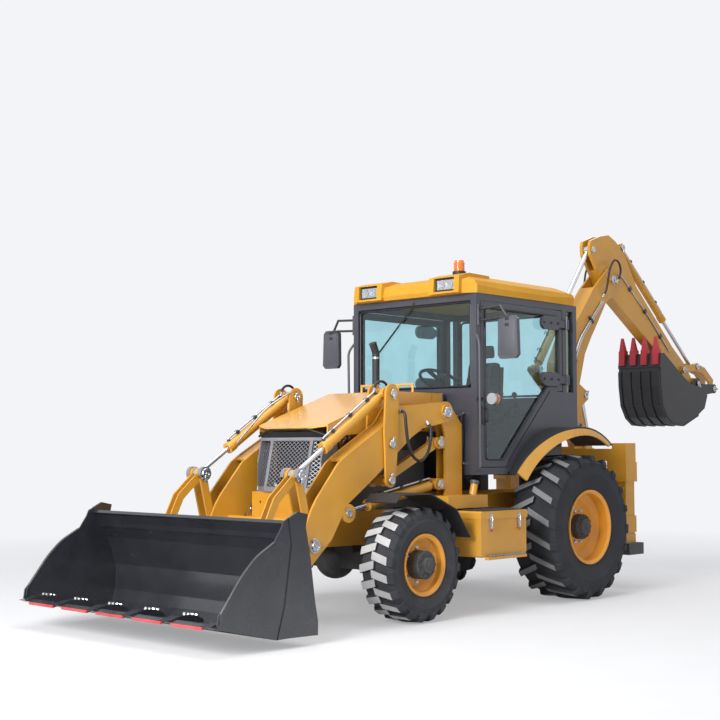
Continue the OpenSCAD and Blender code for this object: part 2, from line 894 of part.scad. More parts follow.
module operator_seat() {
    color(black)
        at_axle() {
            // Pedestal, cushion, back, head pad and armrests
            translate([300, -160, cab_floor_z + floor_t])
                cube([340, 320, 372]);
            slab(0, 480)
                polygon([[240, 1562], [700, 1562], [738, 1600], [738, 1650], [700, 1680], [240, 1668]]);
            slab(0, 460)
                polygon([[200, 1640], [300, 1640], [240, 2060], [214, 2190], [150, 2190], [140, 2060]]);
            slab(0, 250)
                polygon([[150, 2180], [224, 2180], [206, 2340], [146, 2340]]);
            both_sides() {
                slab(262, 64)
                    polygon([[260, 1830], [560, 1850], [560, 1890], [260, 1890]]);
                slab(236, 30)
                    polygon([[230, 1700], [300, 1700], [300, 1850], [230, 1850]]);
            }
        }
}

module steering_console() {
    color(black)
        at_axle() {
            translate([930, -110, cab_floor_z + floor_t])
                cube([160, 220, 559]);
            rod_between([1000, 0, 1700], [860, 0, 1960], 60);
            translate([850, 0, 1975])
                rotate([0, -28, 0])
                    rotate_extrude()
                        translate([185, 0])
                            circle(d = 30);
            translate([850, 0, 1975])
                rotate([0, -28, 0])
                    translate([0, 0, -10])
                        linear_extrude(20) {
                            square([350, 40], center = true);
                            circle(d = 90);
                        }
            // Backhoe controls behind the operator, with two levers
            slab(0, 420)
                polygon([[-225, cab_floor_z + floor_t], [-70, cab_floor_z + floor_t], [-110, 1640], [-225, 1660]]);
            for (y = [-120, 120]) {
                rod_between([-170, y, 1640], [-120, y, 1860], 24);
                translate([-120, y, 1868])
                    sphere(d = 52, $fn = 24);
            }
        }
}

module side_boxes() {
    color(yellow)
        at_axle() {
            both_sides() {
                side_box();
                // Carrier from the frame rail
                translate([980, rail_y, 600])
                    cube([290, 312, 120]);
                // Step under the box, and a filler neck on the ledge
                translate([1000, 1035, 450])
                    cube([520, 40, 24]);
                translate([1240, 690, 960])
                    rotate([0, -14, 0])
                        cylinder(d = 64, h = 96);
            }
        }
}

// Box beside the frame: body, lid that stands proud, latch plates and the ledge above
module side_box() {
    slab(840, 400)
        polygon([[970, 484], [984, 470], [1566, 470], [1576, 480], [1576, box_seam_z], [960, box_seam_z], [960, 494]]);
    slab(840, 416)
        polygon([[952, box_seam_z - 12], [1584, box_seam_z - 12], [1584, 828], [1570, 842], [966, 842], [952, 828]]);
    for (x = [1060, 1440])
        translate([x, 1039, 690])
            cube([34, 17, 130]);
    translate([1170, arm_y + post_gap / 2 + post_t, 860])
        cube([520, 190, 104]);
    translate([1250, 640, 841])
        cube([60, 120, 20]);
}

module radiator_grille() {
    color(grey)
        at_axle() {
            difference() {
                grille_body(0);
                grille_body(26);
                // One window in the middle and one in each slanting side
                for (w = [[-grille_flat + 16, grille_flat - 16], [grille_flat + 16, grille_half_w - 12],
                        [12 - grille_half_w, -grille_flat - 16]])
                    translate([2500, w[0], grille_z + 34])
                        cube([400, w[1] - w[0], 372]);
            }
            intersection() {
                grille_body(8);
                union() {
                    translate([2790 - 14, 0, grille_z])
                        rotate([0, -grille_tilt, 0])
                            mesh_sheet(2 * grille_flat);
                    for (side = [-1, 1])
                        translate([2790 - 14, side * grille_flat, grille_z])
                            rotate([0, 0, side * atan(50 / 142)])
                                rotate([0, -grille_tilt, 0])
                                    translate([0, side * 75, 0])
                                        mesh_sheet(170);
                }
            }
            // Header under the hood's edge, and the radiator behind
            slab(0, 2 * grille_half_w)
                polygon([[2560, 1440], [2698, 1440], [2720, 1488], [2560, 1488]]);
            translate([2520, -330, 850])
                cube([42, 660, 592]);
        }
}

// Grille housing, bowed in plan and leaning back, with its faces moved in by step
module grille_body(step) {
    intersection() {
        slab(0, 2 * grille_half_w)
            polygon([[2561, nose_top_z + step], [2790 - step, nose_top_z + step],
                [2697 - step, 1455 - step], [2561, 1455 - step]]);
        linear_extrude(1600)
            polygon(both_ways([[2790 - step, grille_flat], [2740 - step, grille_half_w - step], [2500, grille_half_w - step]]));
    }
}

// Sheet with diamond holes in the Y-Z plane
module mesh_sheet(width) {
    rise = grille_pitch * 0.72;
    hole = grille_pitch / 2 - 4;
    along_x(0, 5)
        difference() {
            translate([-width / 2, 0])
                square([width, 470]);
            for (row = [0:floor(470 / (rise / 2))], i = [-ceil(width / grille_pitch / 2):ceil(width / grille_pitch / 2)])
                translate([(i + (row % 2) / 2) * grille_pitch, row * rise / 2])
                    polygon([[hole, 0], [0, hole * 0.72], [-hole, 0], [0, -hole * 0.72]]);
        }
}

module hood() {
    color(yellow)
        at_axle() {
            difference() {
                slab(0, 2 * hood_half_w)
                    hood_outline();
                slab(0, 2 * (hood_half_w - hood_t))
                    polygon([[cab_front_x + 10, 1300], [cab_front_x + 10, 1816], [1878, 1816], [2800, 1494], [2800, 1300]]);
                // Corners cut back, as the grille is bowed
                for (side = [-1, 1])
                    linear_extrude(2000)
                        polygon([[2760, side * grille_flat], [2694, side * (hood_half_w + 2)], [2800, side * (hood_half_w + 2)],
                            [2800, side * grille_flat]]);
                // Slots in the side panels
                for (x = [1500:70:1990])
                    translate([x, -hood_half_w - 1, 1590])
                        cube([28, 2 * hood_half_w + 2, 130]);
            }
            // Grab rails on top: [x, y]
            for (r = [[1640, -230], [1620, 180]])
                pipe([[r[0], r[1], 1810], [r[0], r[1], 1900], [r[0] - 20, r[1] + 150, 1900], [r[0] - 20, r[1] + 150, 1810]], 22);
        }
}

module hood_outline() {
    polygon([[cab_front_x + 55, 1500], [cab_front_x + 55, 1830], [1880, 1830], [2744, 1529], [2744, 1512],
        [2690, 1455], [2600, 1455], [1900, 1500]]);
}

module exhaust_stack() {
    color(dark)
        at_axle()
            pipe([[1440, -245, 1830], [1440, -245, 2205], [1482, -245, 2292]], 66);
}

module lamps() {
    color(amber)
        at_axle() {
            // Work lamps in the roof's front
            for (side = [-1, 1])
                translate([lamp_back_x, side * lamp_y - lamp_w / 2, roof_base_z + 40])
                    cube([28, lamp_w, lamp_h]);
            // Beacon on the roof, foot and lens
            translate([beacon[0], beacon[1], beacon_z]) {
                cylinder(d = 120, h = 47);
                cylinder(d = 96, h = 131);
                translate([0, 0, 131])
                    cylinder(d = 84, h = 14);
            }
            // Turn lamps on arms from the front pillars
            both_sides() {
                translate([cab_front_x - 50, cab_half_w, 1760])
                    cube([30, 118, 30]);
                translate([cab_front_x - 66, cab_half_w + 155, 1775])
                    rotate([0, 90, 0])
                        cylinder(d = 96, h = 62);
            }
        }
}

module mirrors() {
    color(black)
        at_axle()
            both_sides() {
                translate([cab_front_x - 52, cab_half_w, 2410])
                    cube([44, 24, 180]);
                for (z = [2450, 2550])
                    pipe([[cab_front_x - 30, cab_half_w + 20, z], [cab_front_x - 34, 960, z + 10],
                        [cab_front_x - 40, 1040, 2440]], 22);
                along_x(cab_front_x - 58, 40)
                    polygon([[965, 2110], [1120, 2110], [1150, 2140], [1140, 2440], [1110, 2470], [975, 2470],
                        [945, 2440], [940, 2140]]);
            }
}

module rear_frame() {
    color(yellow)
        at_axle() {
            // Rails the carriage slides on
            for (z = [rail_low_z, rail_high_z])
                translate([frame_rear_x - 150, -rear_frame_half_w + housing_y, z])
                    cube([150, 2 * (rear_frame_half_w - housing_y), 120]);
            both_sides() {
                difference() {
                    union() {
                        translate([housing_rear_x, rear_frame_half_w - housing_y, 1030])
                            cube([housing_x, housing_y, 375]);
                        translate([housing_rear_x - 8, rear_frame_half_w - housing_y - 8, 1030])
                            cube([housing_x + 16, housing_y + 16, 190]);
                        translate([housing_rear_x, rear_frame_half_w - housing_y, 540])
                            cube([housing_x, housing_y, 160]);
                        // Upright beside the housing
                        translate([frame_rear_x - 150, rear_frame_half_w - housing_y - 60, 560])
                            cube([150, 62, 790]);
                    }
                    translate([housing_rear_x + housing_wall, rear_frame_half_w - housing_y + housing_wall, 400])
                        cube([housing_x - 2 * housing_wall, housing_y - 2 * housing_wall, 993]);
                }
            }
        }
}

module stabilizer() {
    leg_x = housing_x - 2 * housing_wall - 2 * slide_play;
    leg_y = housing_y - 2 * housing_wall - 2 * slide_play;
    translate([housing_rear_x + housing_x / 2, rear_frame_half_w - housing_y / 2, 0]) {
        translate([-leg_x / 2, -leg_y / 2, 440])
            cube([leg_x, leg_y, 930]);
        translate([-leg_x / 2 - 6, -leg_y / 2 - 6, 436])
            cube([leg_x + 12, leg_y + 12, 90]);
        translate([-130, -130, 330])
            cube([260, 260, 110]);
    }
}

module stabilizer_left() {
    color(yellow)
        at_axle()
            stabilizer();
}

module stabilizer_right() {
    color(yellow)
        at_axle()
            mirror([0, 1, 0])
                stabilizer();
}

module arm_outline() {
    polygon([arm_pin + [-20, 88], arm_pin + [634, 30], arm_pin + [720, -80], arm_pin + [778, -124],
        arm_pin + [1179, -345], arm_pin + [1290, -416], arm_pin + [1520, -677], arm_pin + [1571, -750],
        arm_pin + [1640, -881], arm_pin + [1735, -1070], arm_pin + [1850, -1220], arm_pin + [2000, -1360],
        arm_pin + [1900, -1478], arm_pin + [1750, -1350], arm_pin + [1567, -1170], arm_pin + [1365, -995],
        arm_pin + [1192, -736], arm_pin + [876, -527], arm_pin + [440, -212], arm_pin + [295, -138],
        arm_pin + [20, -90]]);
    translate(arm_pin)
        circle(r = 88);
    translate(bucket_pin)
        circle(r = 64);
    translate(lift_front)
        circle(r = 72);
}

module loader_arms() {
    color(yellow)
        at_axle() {
            both_sides() {
                plate_pair(arm_y, arm_gap, arm_t)
                    difference() {
                        arm_outline();
                        pin_holes([lever_mid, guide_low, bucket_pin], bore_d);
                    }
                // Box webs along the top and bottom edges
                slab(arm_y, arm_gap) {
                    band([arm_pin + [260, 48], arm_pin + [610, 18], arm_pin + [700, -95],
                        arm_pin + [1170, -358], arm_pin + [1240, -400]], 16);
                    band([arm_pin + [300, -126], arm_pin + [438, -198], arm_pin + [866, -508],
                        arm_pin + [960, -580]], 16);
                }
                cross_bar(arm_pin, arm_y, arm_gap + 2 * arm_t + 30, arm_pin_d);
                for (side = [-1, 1])
                    cross_bar(arm_pin, arm_y + side * (arm_gap / 2 + arm_t + 6), 12, 130);
            }
            cross_bar(arm_pin + [1420, -905], 0, 2 * (arm_y - arm_gap / 2 - arm_t) + 2, 120);
        }
}

module lever_outline() {
    polygon([lever_top + [-76, 0], lever_top + [76, 0], lever_mid + [80, 100], lever_mid + [74, 0],
        lever_low + [56, 0], lever_low + [-56, 0], lever_mid + [-80, 0], lever_mid + [-80, 100]]);
    translate(lever_top)
        circle(r = 76);
    translate(lever_low)
        circle(r = 56);
}

module tilt_levers() {
    color(yellow)
        at_axle()
            both_sides() {
                plate_pair(arm_y, lever_gap, lever_t)
                    lever_outline();
                for (p = [lever_mid, lever_top])
                    cross_bar(p, arm_y, lever_gap + 2 * lever_t + 20, pin_d);
                for (side = [-1, 1])
                    cross_bar(lever_low, arm_y + side * (lever_gap / 2 + 13), 26, pin_d);
            }
}

module levelling_links() {
    color(yellow)
        at_axle()
            both_sides() {
                slab(arm_y, 50)
                    difference() {
                        link_outline(link_rear, lever_low, 72, 96, 96);
                        translate(link_rear)
                            circle(d = bore_d);
                    }
                cross_bar(lever_low, arm_y, lever_gap - 30, pin_d);
            }
}

module lift_barrels() {
    color(yellow)
        at_axle()
            both_sides()
                barrel(lift_rear, lift_front, arm_y, 845, 50, 92, bore_d, loader_barrel_d, loader_rod_d);
}

module lift_rods() {
    color(steel)
        at_axle()
            both_sides()
                rod(lift_rear, lift_front, arm_y, 1045, 50, 88, arm_gap - 16, pin_d, loader_rod_d);
}

module tilt_barrels() {
    color(yellow)
        at_axle()
            both_sides()
                barrel(lever_top, guide_top, arm_y, 815, 80, 92, bore_d, loader_barrel_d, loader_rod_d);
}

module tilt_rods() {
    color(steel)
        at_axle()
            both_sides()
                rod(lever_top, guide_top, arm_y, 760, 40, 84, 40, 46, loader_rod_d - 6);
}

module guide_pins() {
    color(steel)
        at_axle()
            both_sides()
                pivot_pin(guide_low, guide_gap);
}

// Pin through the arm with a hub inside a clevis of width gap and a collar outside each arm plate
module pivot_pin(p, gap) {
    cross_bar(p, arm_y, arm_gap + 2 * arm_t + 16, pin_d);
    cross_bar(p, arm_y, gap - 2, boss_d);
    for (side = [-1, 1])
        cross_bar(p, arm_y + side * (arm_gap / 2 + arm_t + 9), 16, boss_d - 4);
}

module guide_levers() {
    color(yellow)
        at_axle()
            both_sides()
                plate_pair(arm_y, guide_gap, guide_t)
                    difference() {
                        link_outline(guide_low, guide_top, 70, 100, 92);
                        pin_holes([guide_low, guide_top], bore_d);
                    }
}

module link_pins() {
    color(steel)
        at_axle()
            both_sides()
                for (side = [-1, 1]) {
                    cross_bar(guide_top, arm_y + side * 42, 38, pin_d);
                    cross_bar(guide_top, arm_y + side * (guide_gap / 2 + guide_t + 19), 36, boss_d);
                }
}

module bucket_links() {
    color(yellow)
        at_axle()
            both_sides() {
                plate_pair(arm_y, 48, 12)
                    difference() {
                        union() {
                            band([guide_top, guide_top + [205, -180], guide_top + [285, -340], bucket_top], 62);
                            translate(guide_top)
                                circle(d = 92);
                            translate(bucket_top)
                                circle(d = 84);
                        }
                        translate(guide_top)
                            circle(d = bore_d);
                    }
                cross_bar(bucket_top, arm_y, 72, pin_d);
            }
}

module bucket_pins() {
    color(steel)
        at_axle()
            both_sides()
                pivot_pin(bucket_pin, bucket_lug_gap);
}

module loader_bucket() {
    color(dark)
        at_axle() {
            slab(0, bucket_w - 2 * bucket_side_t + 2)
                band(bucket_section, bucket_t);
            // Cutting edge under the lip and stiffener along the top
            slab(0, bucket_w - 2 * bucket_side_t + 2)
                polygon([bucket_lip + [28, 2], bucket_lip + [-20, 16], bucket_lip + [-240, -24], bucket_lip + [-240, -46],
                    bucket_lip + [-10, -14]]);
            slab(0, bucket_w - 2 * bucket_side_t + 2)
                polygon([bucket_pin + [330, 620], bucket_pin + [286, 560], bucket_pin + [268, 486], bucket_pin + [300, 560],
                    bucket_pin + [345, 600]]);
            both_sides() {
                slab(bucket_w / 2 - doubler_t - (bucket_side_t - doubler_t) / 2, bucket_side_t - doubler_t)
                    bucket_side_outline();
                // Doubler plate over the rear part of the side
                slab(bucket_w / 2 - doubler_t / 2, doubler_t)
                    intersection() {
                        bucket_side_outline();
                        polygon([bucket_lip + [-610, 760], bucket_lip + [-650, 500], bucket_lip + [-590, 100],
                            bucket_lip + [-500, -200], bucket_lip + [-1000, -200], bucket_lip + [-1000, 760]]);
                    }
                // Rim bar along the side plate's sloping edge
                slab(bucket_w / 2 - doubler_t / 2, doubler_t)
                    band([bucket_lip + [-22, 20], bucket_lip + [-24, 76], bucket_lip + [-104, 162], bucket_lip + [-217, 306],
                        bucket_lip + [-338, 420], bucket_lip + [-500, 506]], 24);
                // Hinge brackets on the back
                plate_pair(arm_y, bucket_lug_gap, 16)
                    difference() {
                        union() {
                            polygon([bucket_pin + [0, -50], bucket_pin + [130, -60], bucket_pin + [118, 180],
                                bucket_pin + [190, 400], bucket_top + [40, 60], bucket_top + [-30, 40],
                                bucket_top + [-30, -40], bucket_pin + [-30, 45]]);
                            translate(bucket_pin)
                                circle(r = 58);
                            translate(bucket_top)
                                circle(r = 50);
                        }
                        translate(bucket_pin)
                            circle(d = bore_d);
                    }
            }
            // Tooth adapters bolted along the edge
            for (i = [0:bucket_teeth - 1]) {
                y = (i - (bucket_teeth - 1) / 2) * (bucket_w - 160) / (bucket_teeth - 1);
                slab(y, 90)
                    polygon([bucket_lip + [-262, -24], bucket_lip + [-262, -4], bucket_lip + [-196, 30],
                        bucket_lip + [-120, 38], bucket_lip + [-60, 34], bucket_lip + [60, 8], bucket_lip + [-20, -6]]);
            }
        }
}

module bucket_side_outline() {
    polygon([bucket_lip + [5, -8], bucket_lip + [-8, 80], bucket_lip + [-90, 172], bucket_lip + [-205, 318],
        bucket_lip + [-330, 434], bucket_lip + [-490, 520], bucket_lip + [-560, 618], bucket_lip + [-580, 664],
        bucket_lip + [-702, 724], bucket_lip + [-800, 703], bucket_lip + [-780, 618], bucket_lip + [-825, 404],
        bucket_lip + [-870, 105], bucket_lip + [-900, -34], bucket_lip + [-900, -132], bucket_lip + [-525, -124]]);
}

module shift_carriage() {
    color(yellow)
        at_axle() {
            translate([carriage_x - 40, -240, 446])
                cube([40, 480, rail_high_z + 120 + slide_play + 20 - 446]);
            difference() {
                for (z = [450, 1200]) {
                    translate([swing_x, 0, z])
                        cylinder(r = 76, h = 60);
                    translate([swing_x, -76, z])
                        cube([carriage_x - 20 - swing_x, 152, 60]);
                }
                translate([swing_x, 0, 400])
                    cylinder(d = swing_pin_d + 2 * pin_fit, h = 900);
            }
            // Clamps over and under the rails
            both_sides()
                for (z = [rail_low_z - slide_play - 20, rail_high_z + 120 + slide_play])
                    translate([carriage_x - 20, 60, z])
                        cube([160, 140, 20]);
        }
}

module swing_post() {
    color(yellow)
        at_axle() {
            translate([swing_x, 0, 442])
                cylinder(d = swing_pin_d, h = 838);
            difference() {
                union() {
                    translate([swing_x, 0, 518])
                        cylinder(r = 80, h = 674);
                    plate_pair(0, boom_w + 12, 24)
                        polygon([[swing_x + 30, 540], [swing_x + 30, 1160], [swing_x - 60, 1160], boom_foot + [-20, 130],
                            boom_foot + [-90, 40], boom_ram_low + [-70, 20], boom_ram_low + [-50, -60],
                            boom_ram_low + [60, -60], boom_foot + [0, -130]]);
                    translate([swing_x - 60, -boom_w / 2 - 8, 540])
                        cube([70, boom_w + 16, 620]);
                }
                cross_bar(boom_foot, 0, 2 * boom_w, rod_bore_d);
                slab(0, boom_w + 12)
                    translate(boom_foot)
                        circle(r = 112);
            }
            cross_bar(boom_ram_low, 0, boom_w + 12 + 60, backhoe_pin_d);
        }
}

module boom_outline() {
    polygon([boom_foot + [88, -20], boom_foot + [66, 240], boom_foot + [66, 600], boom_foot + [140, 720],
        boom_foot + [300, 860], boom_foot + [450, 990], boom_foot + [560, 1240], boom_foot + [530, 1560],
        boom_foot + [300, 1960], boom_foot + [-60, 2370], boom_tip + [50, 110], boom_tip + [-80, 70],
        boom_tip + [-90, -60], boom_tip + [-20, -180], boom_foot + [-290, 2240], boom_foot + [-130, 2020],
        boom_foot + [0, 1850], boom_foot + [120, 1670], boom_foot + [230, 1340], boom_foot + [170, 980],
        boom_foot + [30, 760], boom_foot + [-60, 540], boom_foot + [-90, 240], boom_foot + [-88, -20]]);
    translate(boom_foot)
        circle(r = 92);
    translate(boom_tip)
        circle(r = 92);
}

module boom() {
    color(yellow)
        at_axle() {
            difference() {
                slab(0, boom_w)
                    boom_outline();
                // Fork for the dipper at the tip
                slab(0, dipper_w + 14)
                    translate(boom_tip)
                        circle(r = 330);
            }
            for (p = [boom_foot, boom_tip])
                cross_bar(p, 0, boom_w + 60, backhoe_pin_d);
            // Lugs of the boom cylinder's rod
            plate_pair(0, 90, 22)
                polygon([boom_ram_top + [-50, 30], boom_ram_top + [-40, -40], boom_ram_top + [160, -160],
                    boom_ram_top + [180, 150], boom_ram_top + [0, 56]]);
            // Bracket of the crowd cylinder
            plate_pair(0, 70, 20)
                polygon([crowd_low + [45, 20], crowd_low + [30, -40], boom_foot + [470, 1100],
                    boom_foot + [500, 1330], crowd_low + [-55, -30], crowd_low + [-20, 40]]);
            cross_bar(crowd_low, 0, 130, backhoe_pin_d);
        }
}

module boom_barrel() {
    color(yellow)
        at_axle()
            barrel(boom_ram_low, boom_ram_top, 0, 860, 80, 100, rod_bore_d, backhoe_barrel_d, backhoe_rod_d);
}

module boom_rod() {
    color(steel)
        at_axle()
            rod(boom_ram_low, boom_ram_top, 0, 890, 70, 96, 78, backhoe_pin_d, backhoe_rod_d);
}

module crowd_barrel() {
    color(yellow)
        at_axle()
            barrel(crowd_low, crowd_eye, 0, 800, 60, 96, rod_bore_d, backhoe_barrel_d, backhoe_rod_d);
}

module crowd_rod() {
    color(steel)
        at_axle()
            rod(crowd_low, crowd_eye, 0, 1200, 50, 96, 50, backhoe_pin_d, backhoe_rod_d);
}

module dipper_outline() {
    polygon([crowd_eye + [60, 30], crowd_eye + [40, 90], boom_tip + [145, 450], boom_tip + [-10, 482],
        boom_tip + [-150, 430], boom_tip + [-330, 300], boom_tip + [-555, -20], boom_tip + [-915, -320],
        boom_tip + [-1315, -650], boom_tip + [-1565, -820], dig_pin + [70, 70], dig_pin + [60, -60],
        rocker_pin + [100, -60], boom_tip + [-815, -625], boom_tip + [-155, -230], boom_tip + [55, -120],
        boom_tip + [145, 0], crowd_eye + [50, -60]]);
    translate(dig_pin)
        circle(r = 70);
    translate(boom_tip)
        circle(r = 110);
    translate(crowd_eye)
        circle(r = 58);
}

module dipper() {
    color(yellow)
        at_axle() {
            difference() {
                slab(0, dipper_w)
                    dipper_outline();
                cross_bar(boom_tip, 0, dipper_w + 2, rod_bore_d);
                cross_bar(rocker_pin, 0, dipper_w + 2, rod_bore_d);
                cross_bar(dig_pin, 0, dipper_w + 2, rod_bore_d);
                // Clevis for the crowd rod's eye
                slab(0, 62)
                    link_outline(crowd_eye, crowd_eye + [300, 60], 440, 440, 440);
            }
            // Base bracket of the dig bucket's cylinder
            plate_pair(0, 70, 18)
                polygon([dig_ram_low + [50, 0], dig_ram_low + [0, 50], dig_ram_low + [-50, 0], dig_ram_low + [-40, -120],
                    dig_ram_low + [60, -120]]);
            cross_bar(dig_ram_low, 0, 120, backhoe_pin_d);
        }
}

module dig_barrel() {
    color(yellow)
        at_axle()
            barrel(dig_ram_low, rocker_tip, 0, 1160, 60, 90, rod_bore_d, backhoe_barrel_d - 12, backhoe_rod_d - 6);
}

module dig_rod() {
    color(steel)
        at_axle()
            rod(dig_ram_low, rocker_tip, 0, 1380, 50, 86, 50, backhoe_pin_d, backhoe_rod_d - 6);
}

module rocker_link() {
    color(yellow)
        at_axle() {
            plate_pair(0, dipper_w + 10, 16)
                difference() {
                    link_outline(rocker_pin, rocker_tip, 76, 92, 92);
                    translate(rocker_tip)
                        circle(d = rod_bore_d);
                }
            cross_bar(rocker_pin, 0, dipper_w + 60, backhoe_pin_d);
        }
}

module dig_link() {
    color(yellow)
        at_axle() {
            plate_pair(0, 70, 28)
                band([rocker_tip, rocker_tip + [-200, -40], dig_link_pin + [-20, 90], dig_link_pin], 84);
            for (side = [-1, 1])
                cross_bar(rocker_tip, side * 59.5, 61, backhoe_pin_d);
        }
}

module dig_bucket() {
    color(dark)
        at_axle() {
            slab(0, dig_bucket_w - 20)
                band(dig_section, 14);
            // Wear ribs round the outside of the heel, and the lip plate
            for (i = [0:dig_teeth])
                slab((i - dig_teeth / 2) * (dig_bucket_w - 44) / dig_teeth, 36)
                    side_strip([for (k = [1:7]) dig_section[k]], 5, 7 + rib_h);
            slab(0, dig_bucket_w)
                side_strip([dig_pin + [1062, 292], dig_pin + [1084, 138]], -8, 20);
            both_sides()
                slab(dig_bucket_w / 2 - 9, 18)
                    polygon(concat(dig_section, [dig_pin + [160, -60], dig_pin + [446, -20], dig_pin + [663, 90],
                        dig_pin + [1010, 300]]));
            // Hinge brackets
            plate_pair(0, dipper_w + 52, 20) {
                polygon([dig_pin + [0, 60], dig_pin + [-60, 0], dig_link_pin + [0, 50], dig_link_pin + [-50, 0],
                    dig_link_pin + [0, -50], dig_pin + [60, -150], dig_pin + [265, -350], dig_pin + [400, -150]]);
                translate(dig_pin)
                    circle(r = 66);
                translate(dig_link_pin)
                    circle(r = 54);
            }
            cross_bar(dig_pin, 0, dipper_w + 110, backhoe_pin_d);
            // Tooth adapters over the lip, then the tapered tips
            for (i = [0:dig_teeth - 1]) {
                y = (i - (dig_teeth - 1) / 2) * (dig_bucket_w - 110) / (dig_teeth - 1);
                slab(y, 74)
                    polygon([dig_pin + [1040, 190], dig_pin + [1040, 330], dig_pin + [1076, 350], dig_pin + [1116, 330],
                        dig_pin + [1122, 170]]);
                intersection() {
                    slab(y, 74)
                        polygon([dig_pin + [1046, 330], dig_pin + [1086, 478], dig_pin + [1100, 478], dig_pin + [1116, 330]]);
                    along_x(-4000, 4000)
                        polygon([[y - 30, dig_pin[1] + 330], [y - 14, dig_pin[1] + 478], [y + 14, dig_pin[1] + 478],
                            [y + 30, dig_pin[1] + 330]]);
                }
            }
        }
}

chassis_frame();
loader_posts();
engine_block();
axle_housings();
cab_frame();
cab_roof();
cab_glass();
fenders();
operator_seat();
steering_console();
side_boxes();
radiator_grille();
rear_frame();
lamps();
mirrors();
fender_trim();
hood();
exhaust_stack();
door_left();
door_left_glass();
door_right();
door_right_glass();
loader_arms();
tilt_levers();
levelling_links();
lift_barrels();
lift_rods();
tilt_barrels();
tilt_rods();
guide_pins();
guide_levers();
link_pins();
bucket_links();
bucket_pins();
loader_bucket();
knuckle_left();
knuckle_right();
rim_front_left();
tyre_front_left();
rim_front_right();
tyre_front_right();
rim_rear_left();
tyre_rear_left();
rim_rear_right();
tyre_rear_right();
shift_carriage();
swing_post();
boom();
boom_barrel();
boom_rod();
crowd_barrel();
crowd_rod();
dipper();
dig_barrel();
dig_rod();
rocker_link();
dig_link();
dig_bucket();
stabilizer_left();
stabilizer_right();
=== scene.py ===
import math

import bpy
from mathutils import Matrix, Vector


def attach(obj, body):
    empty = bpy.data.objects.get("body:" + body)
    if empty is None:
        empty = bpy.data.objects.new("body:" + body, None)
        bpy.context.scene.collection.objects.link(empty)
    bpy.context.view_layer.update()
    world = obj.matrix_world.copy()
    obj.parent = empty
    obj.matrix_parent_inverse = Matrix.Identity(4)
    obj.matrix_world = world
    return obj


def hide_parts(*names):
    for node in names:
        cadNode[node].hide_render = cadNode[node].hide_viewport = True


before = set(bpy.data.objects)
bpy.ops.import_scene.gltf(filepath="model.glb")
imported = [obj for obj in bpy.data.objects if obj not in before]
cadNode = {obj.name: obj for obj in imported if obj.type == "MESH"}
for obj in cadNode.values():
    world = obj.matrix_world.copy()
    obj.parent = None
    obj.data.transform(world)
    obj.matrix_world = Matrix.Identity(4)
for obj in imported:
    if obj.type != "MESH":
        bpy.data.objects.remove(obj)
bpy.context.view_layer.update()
print("stage 1: frame loaded")

# Everything below is in metres from the machine's rear axle line, moved into the frame by this step
axleX = -0.170


def at(x, y, z):
    return Vector((x + axleX, y, z))


def laid(points, way=1):
    # the points of a line in the frame; way -1 lays it on the machine's right side
    return [at(x, way * y, z) for x, y, z in points]


bothSides = (("left", 1), ("right", -1))


# Node trees: small helpers that keep the wiring short
def fill(node, values):
    # each value is set on the input of its name or number, and another node's output is linked to it
    for label, value in values.items():
        if isinstance(value, bpy.types.NodeSocket):
            node.id_data.links.new(value, node.inputs[label])
        else:
            node.inputs[label].default_value = value
    return node


def addNode(tree, kind, **values):
    made = tree.nodes.new(kind)
    column, row = divmod(len(tree.nodes), 5)
    made.location = (240 * column - 900, 300 - 220 * row)
    for key in [key for key in values if key not in made.inputs]:
        setattr(made, key, values.pop(key))
    return fill(made, values)


def newGroup(name, ins, outs):
    tree = bpy.data.node_groups.new(name, "ShaderNodeTree")
    for label, kind, value in ins:
        socket = tree.interface.new_socket(label, in_out="INPUT", socket_type="NodeSocket" + kind)
        socket.default_value = value
    for label, kind in outs:
        tree.interface.new_socket(label, in_out="OUTPUT", socket_type="NodeSocket" + kind)
    return tree, addNode(tree, "NodeGroupInput").outputs, addNode(tree, "NodeGroupOutput")


def useGroup(tree, group, **values):
    made = addNode(tree, "ShaderNodeGroup")
    made.node_tree = group
    return fill(made, values)


def objectCoords(tree):
    return addNode(tree, "ShaderNodeTexCoord").outputs["Object"]


def noise(tree, where, **values):
    return addNode(tree, "ShaderNodeTexNoise", Vector=where, **values).outputs["Fac"]


def height(tree, vector):
    return addNode(tree, "ShaderNodeSeparateXYZ", Vector=vector).outputs["Z"]


def remap(tree, source, low, high, toLow=0.0, toHigh=1.0):
    made = addNode(tree, "ShaderNodeMapRange", clamp=True, Value=source)
    fill(made, {"From Min": low, "From Max": high, "To Min": toLow, "To Max": toHigh})
    return made.outputs["Result"]


def calc(tree, operation, first, second):
    return fill(addNode(tree, "ShaderNodeMath", operation=operation), {0: first, 1: second}).outputs[0]


def times(tree, first, second):
    return calc(tree, "MULTIPLY", first, second)


def mixColor(tree, mask, first, second):
    first, second = [(*color, 1) if isinstance(color, tuple) else color for color in (first, second)]
    return fill(addNode(tree, "ShaderNodeMix", data_type="RGBA"), {0: mask, 6: first, 7: second}).outputs[2]


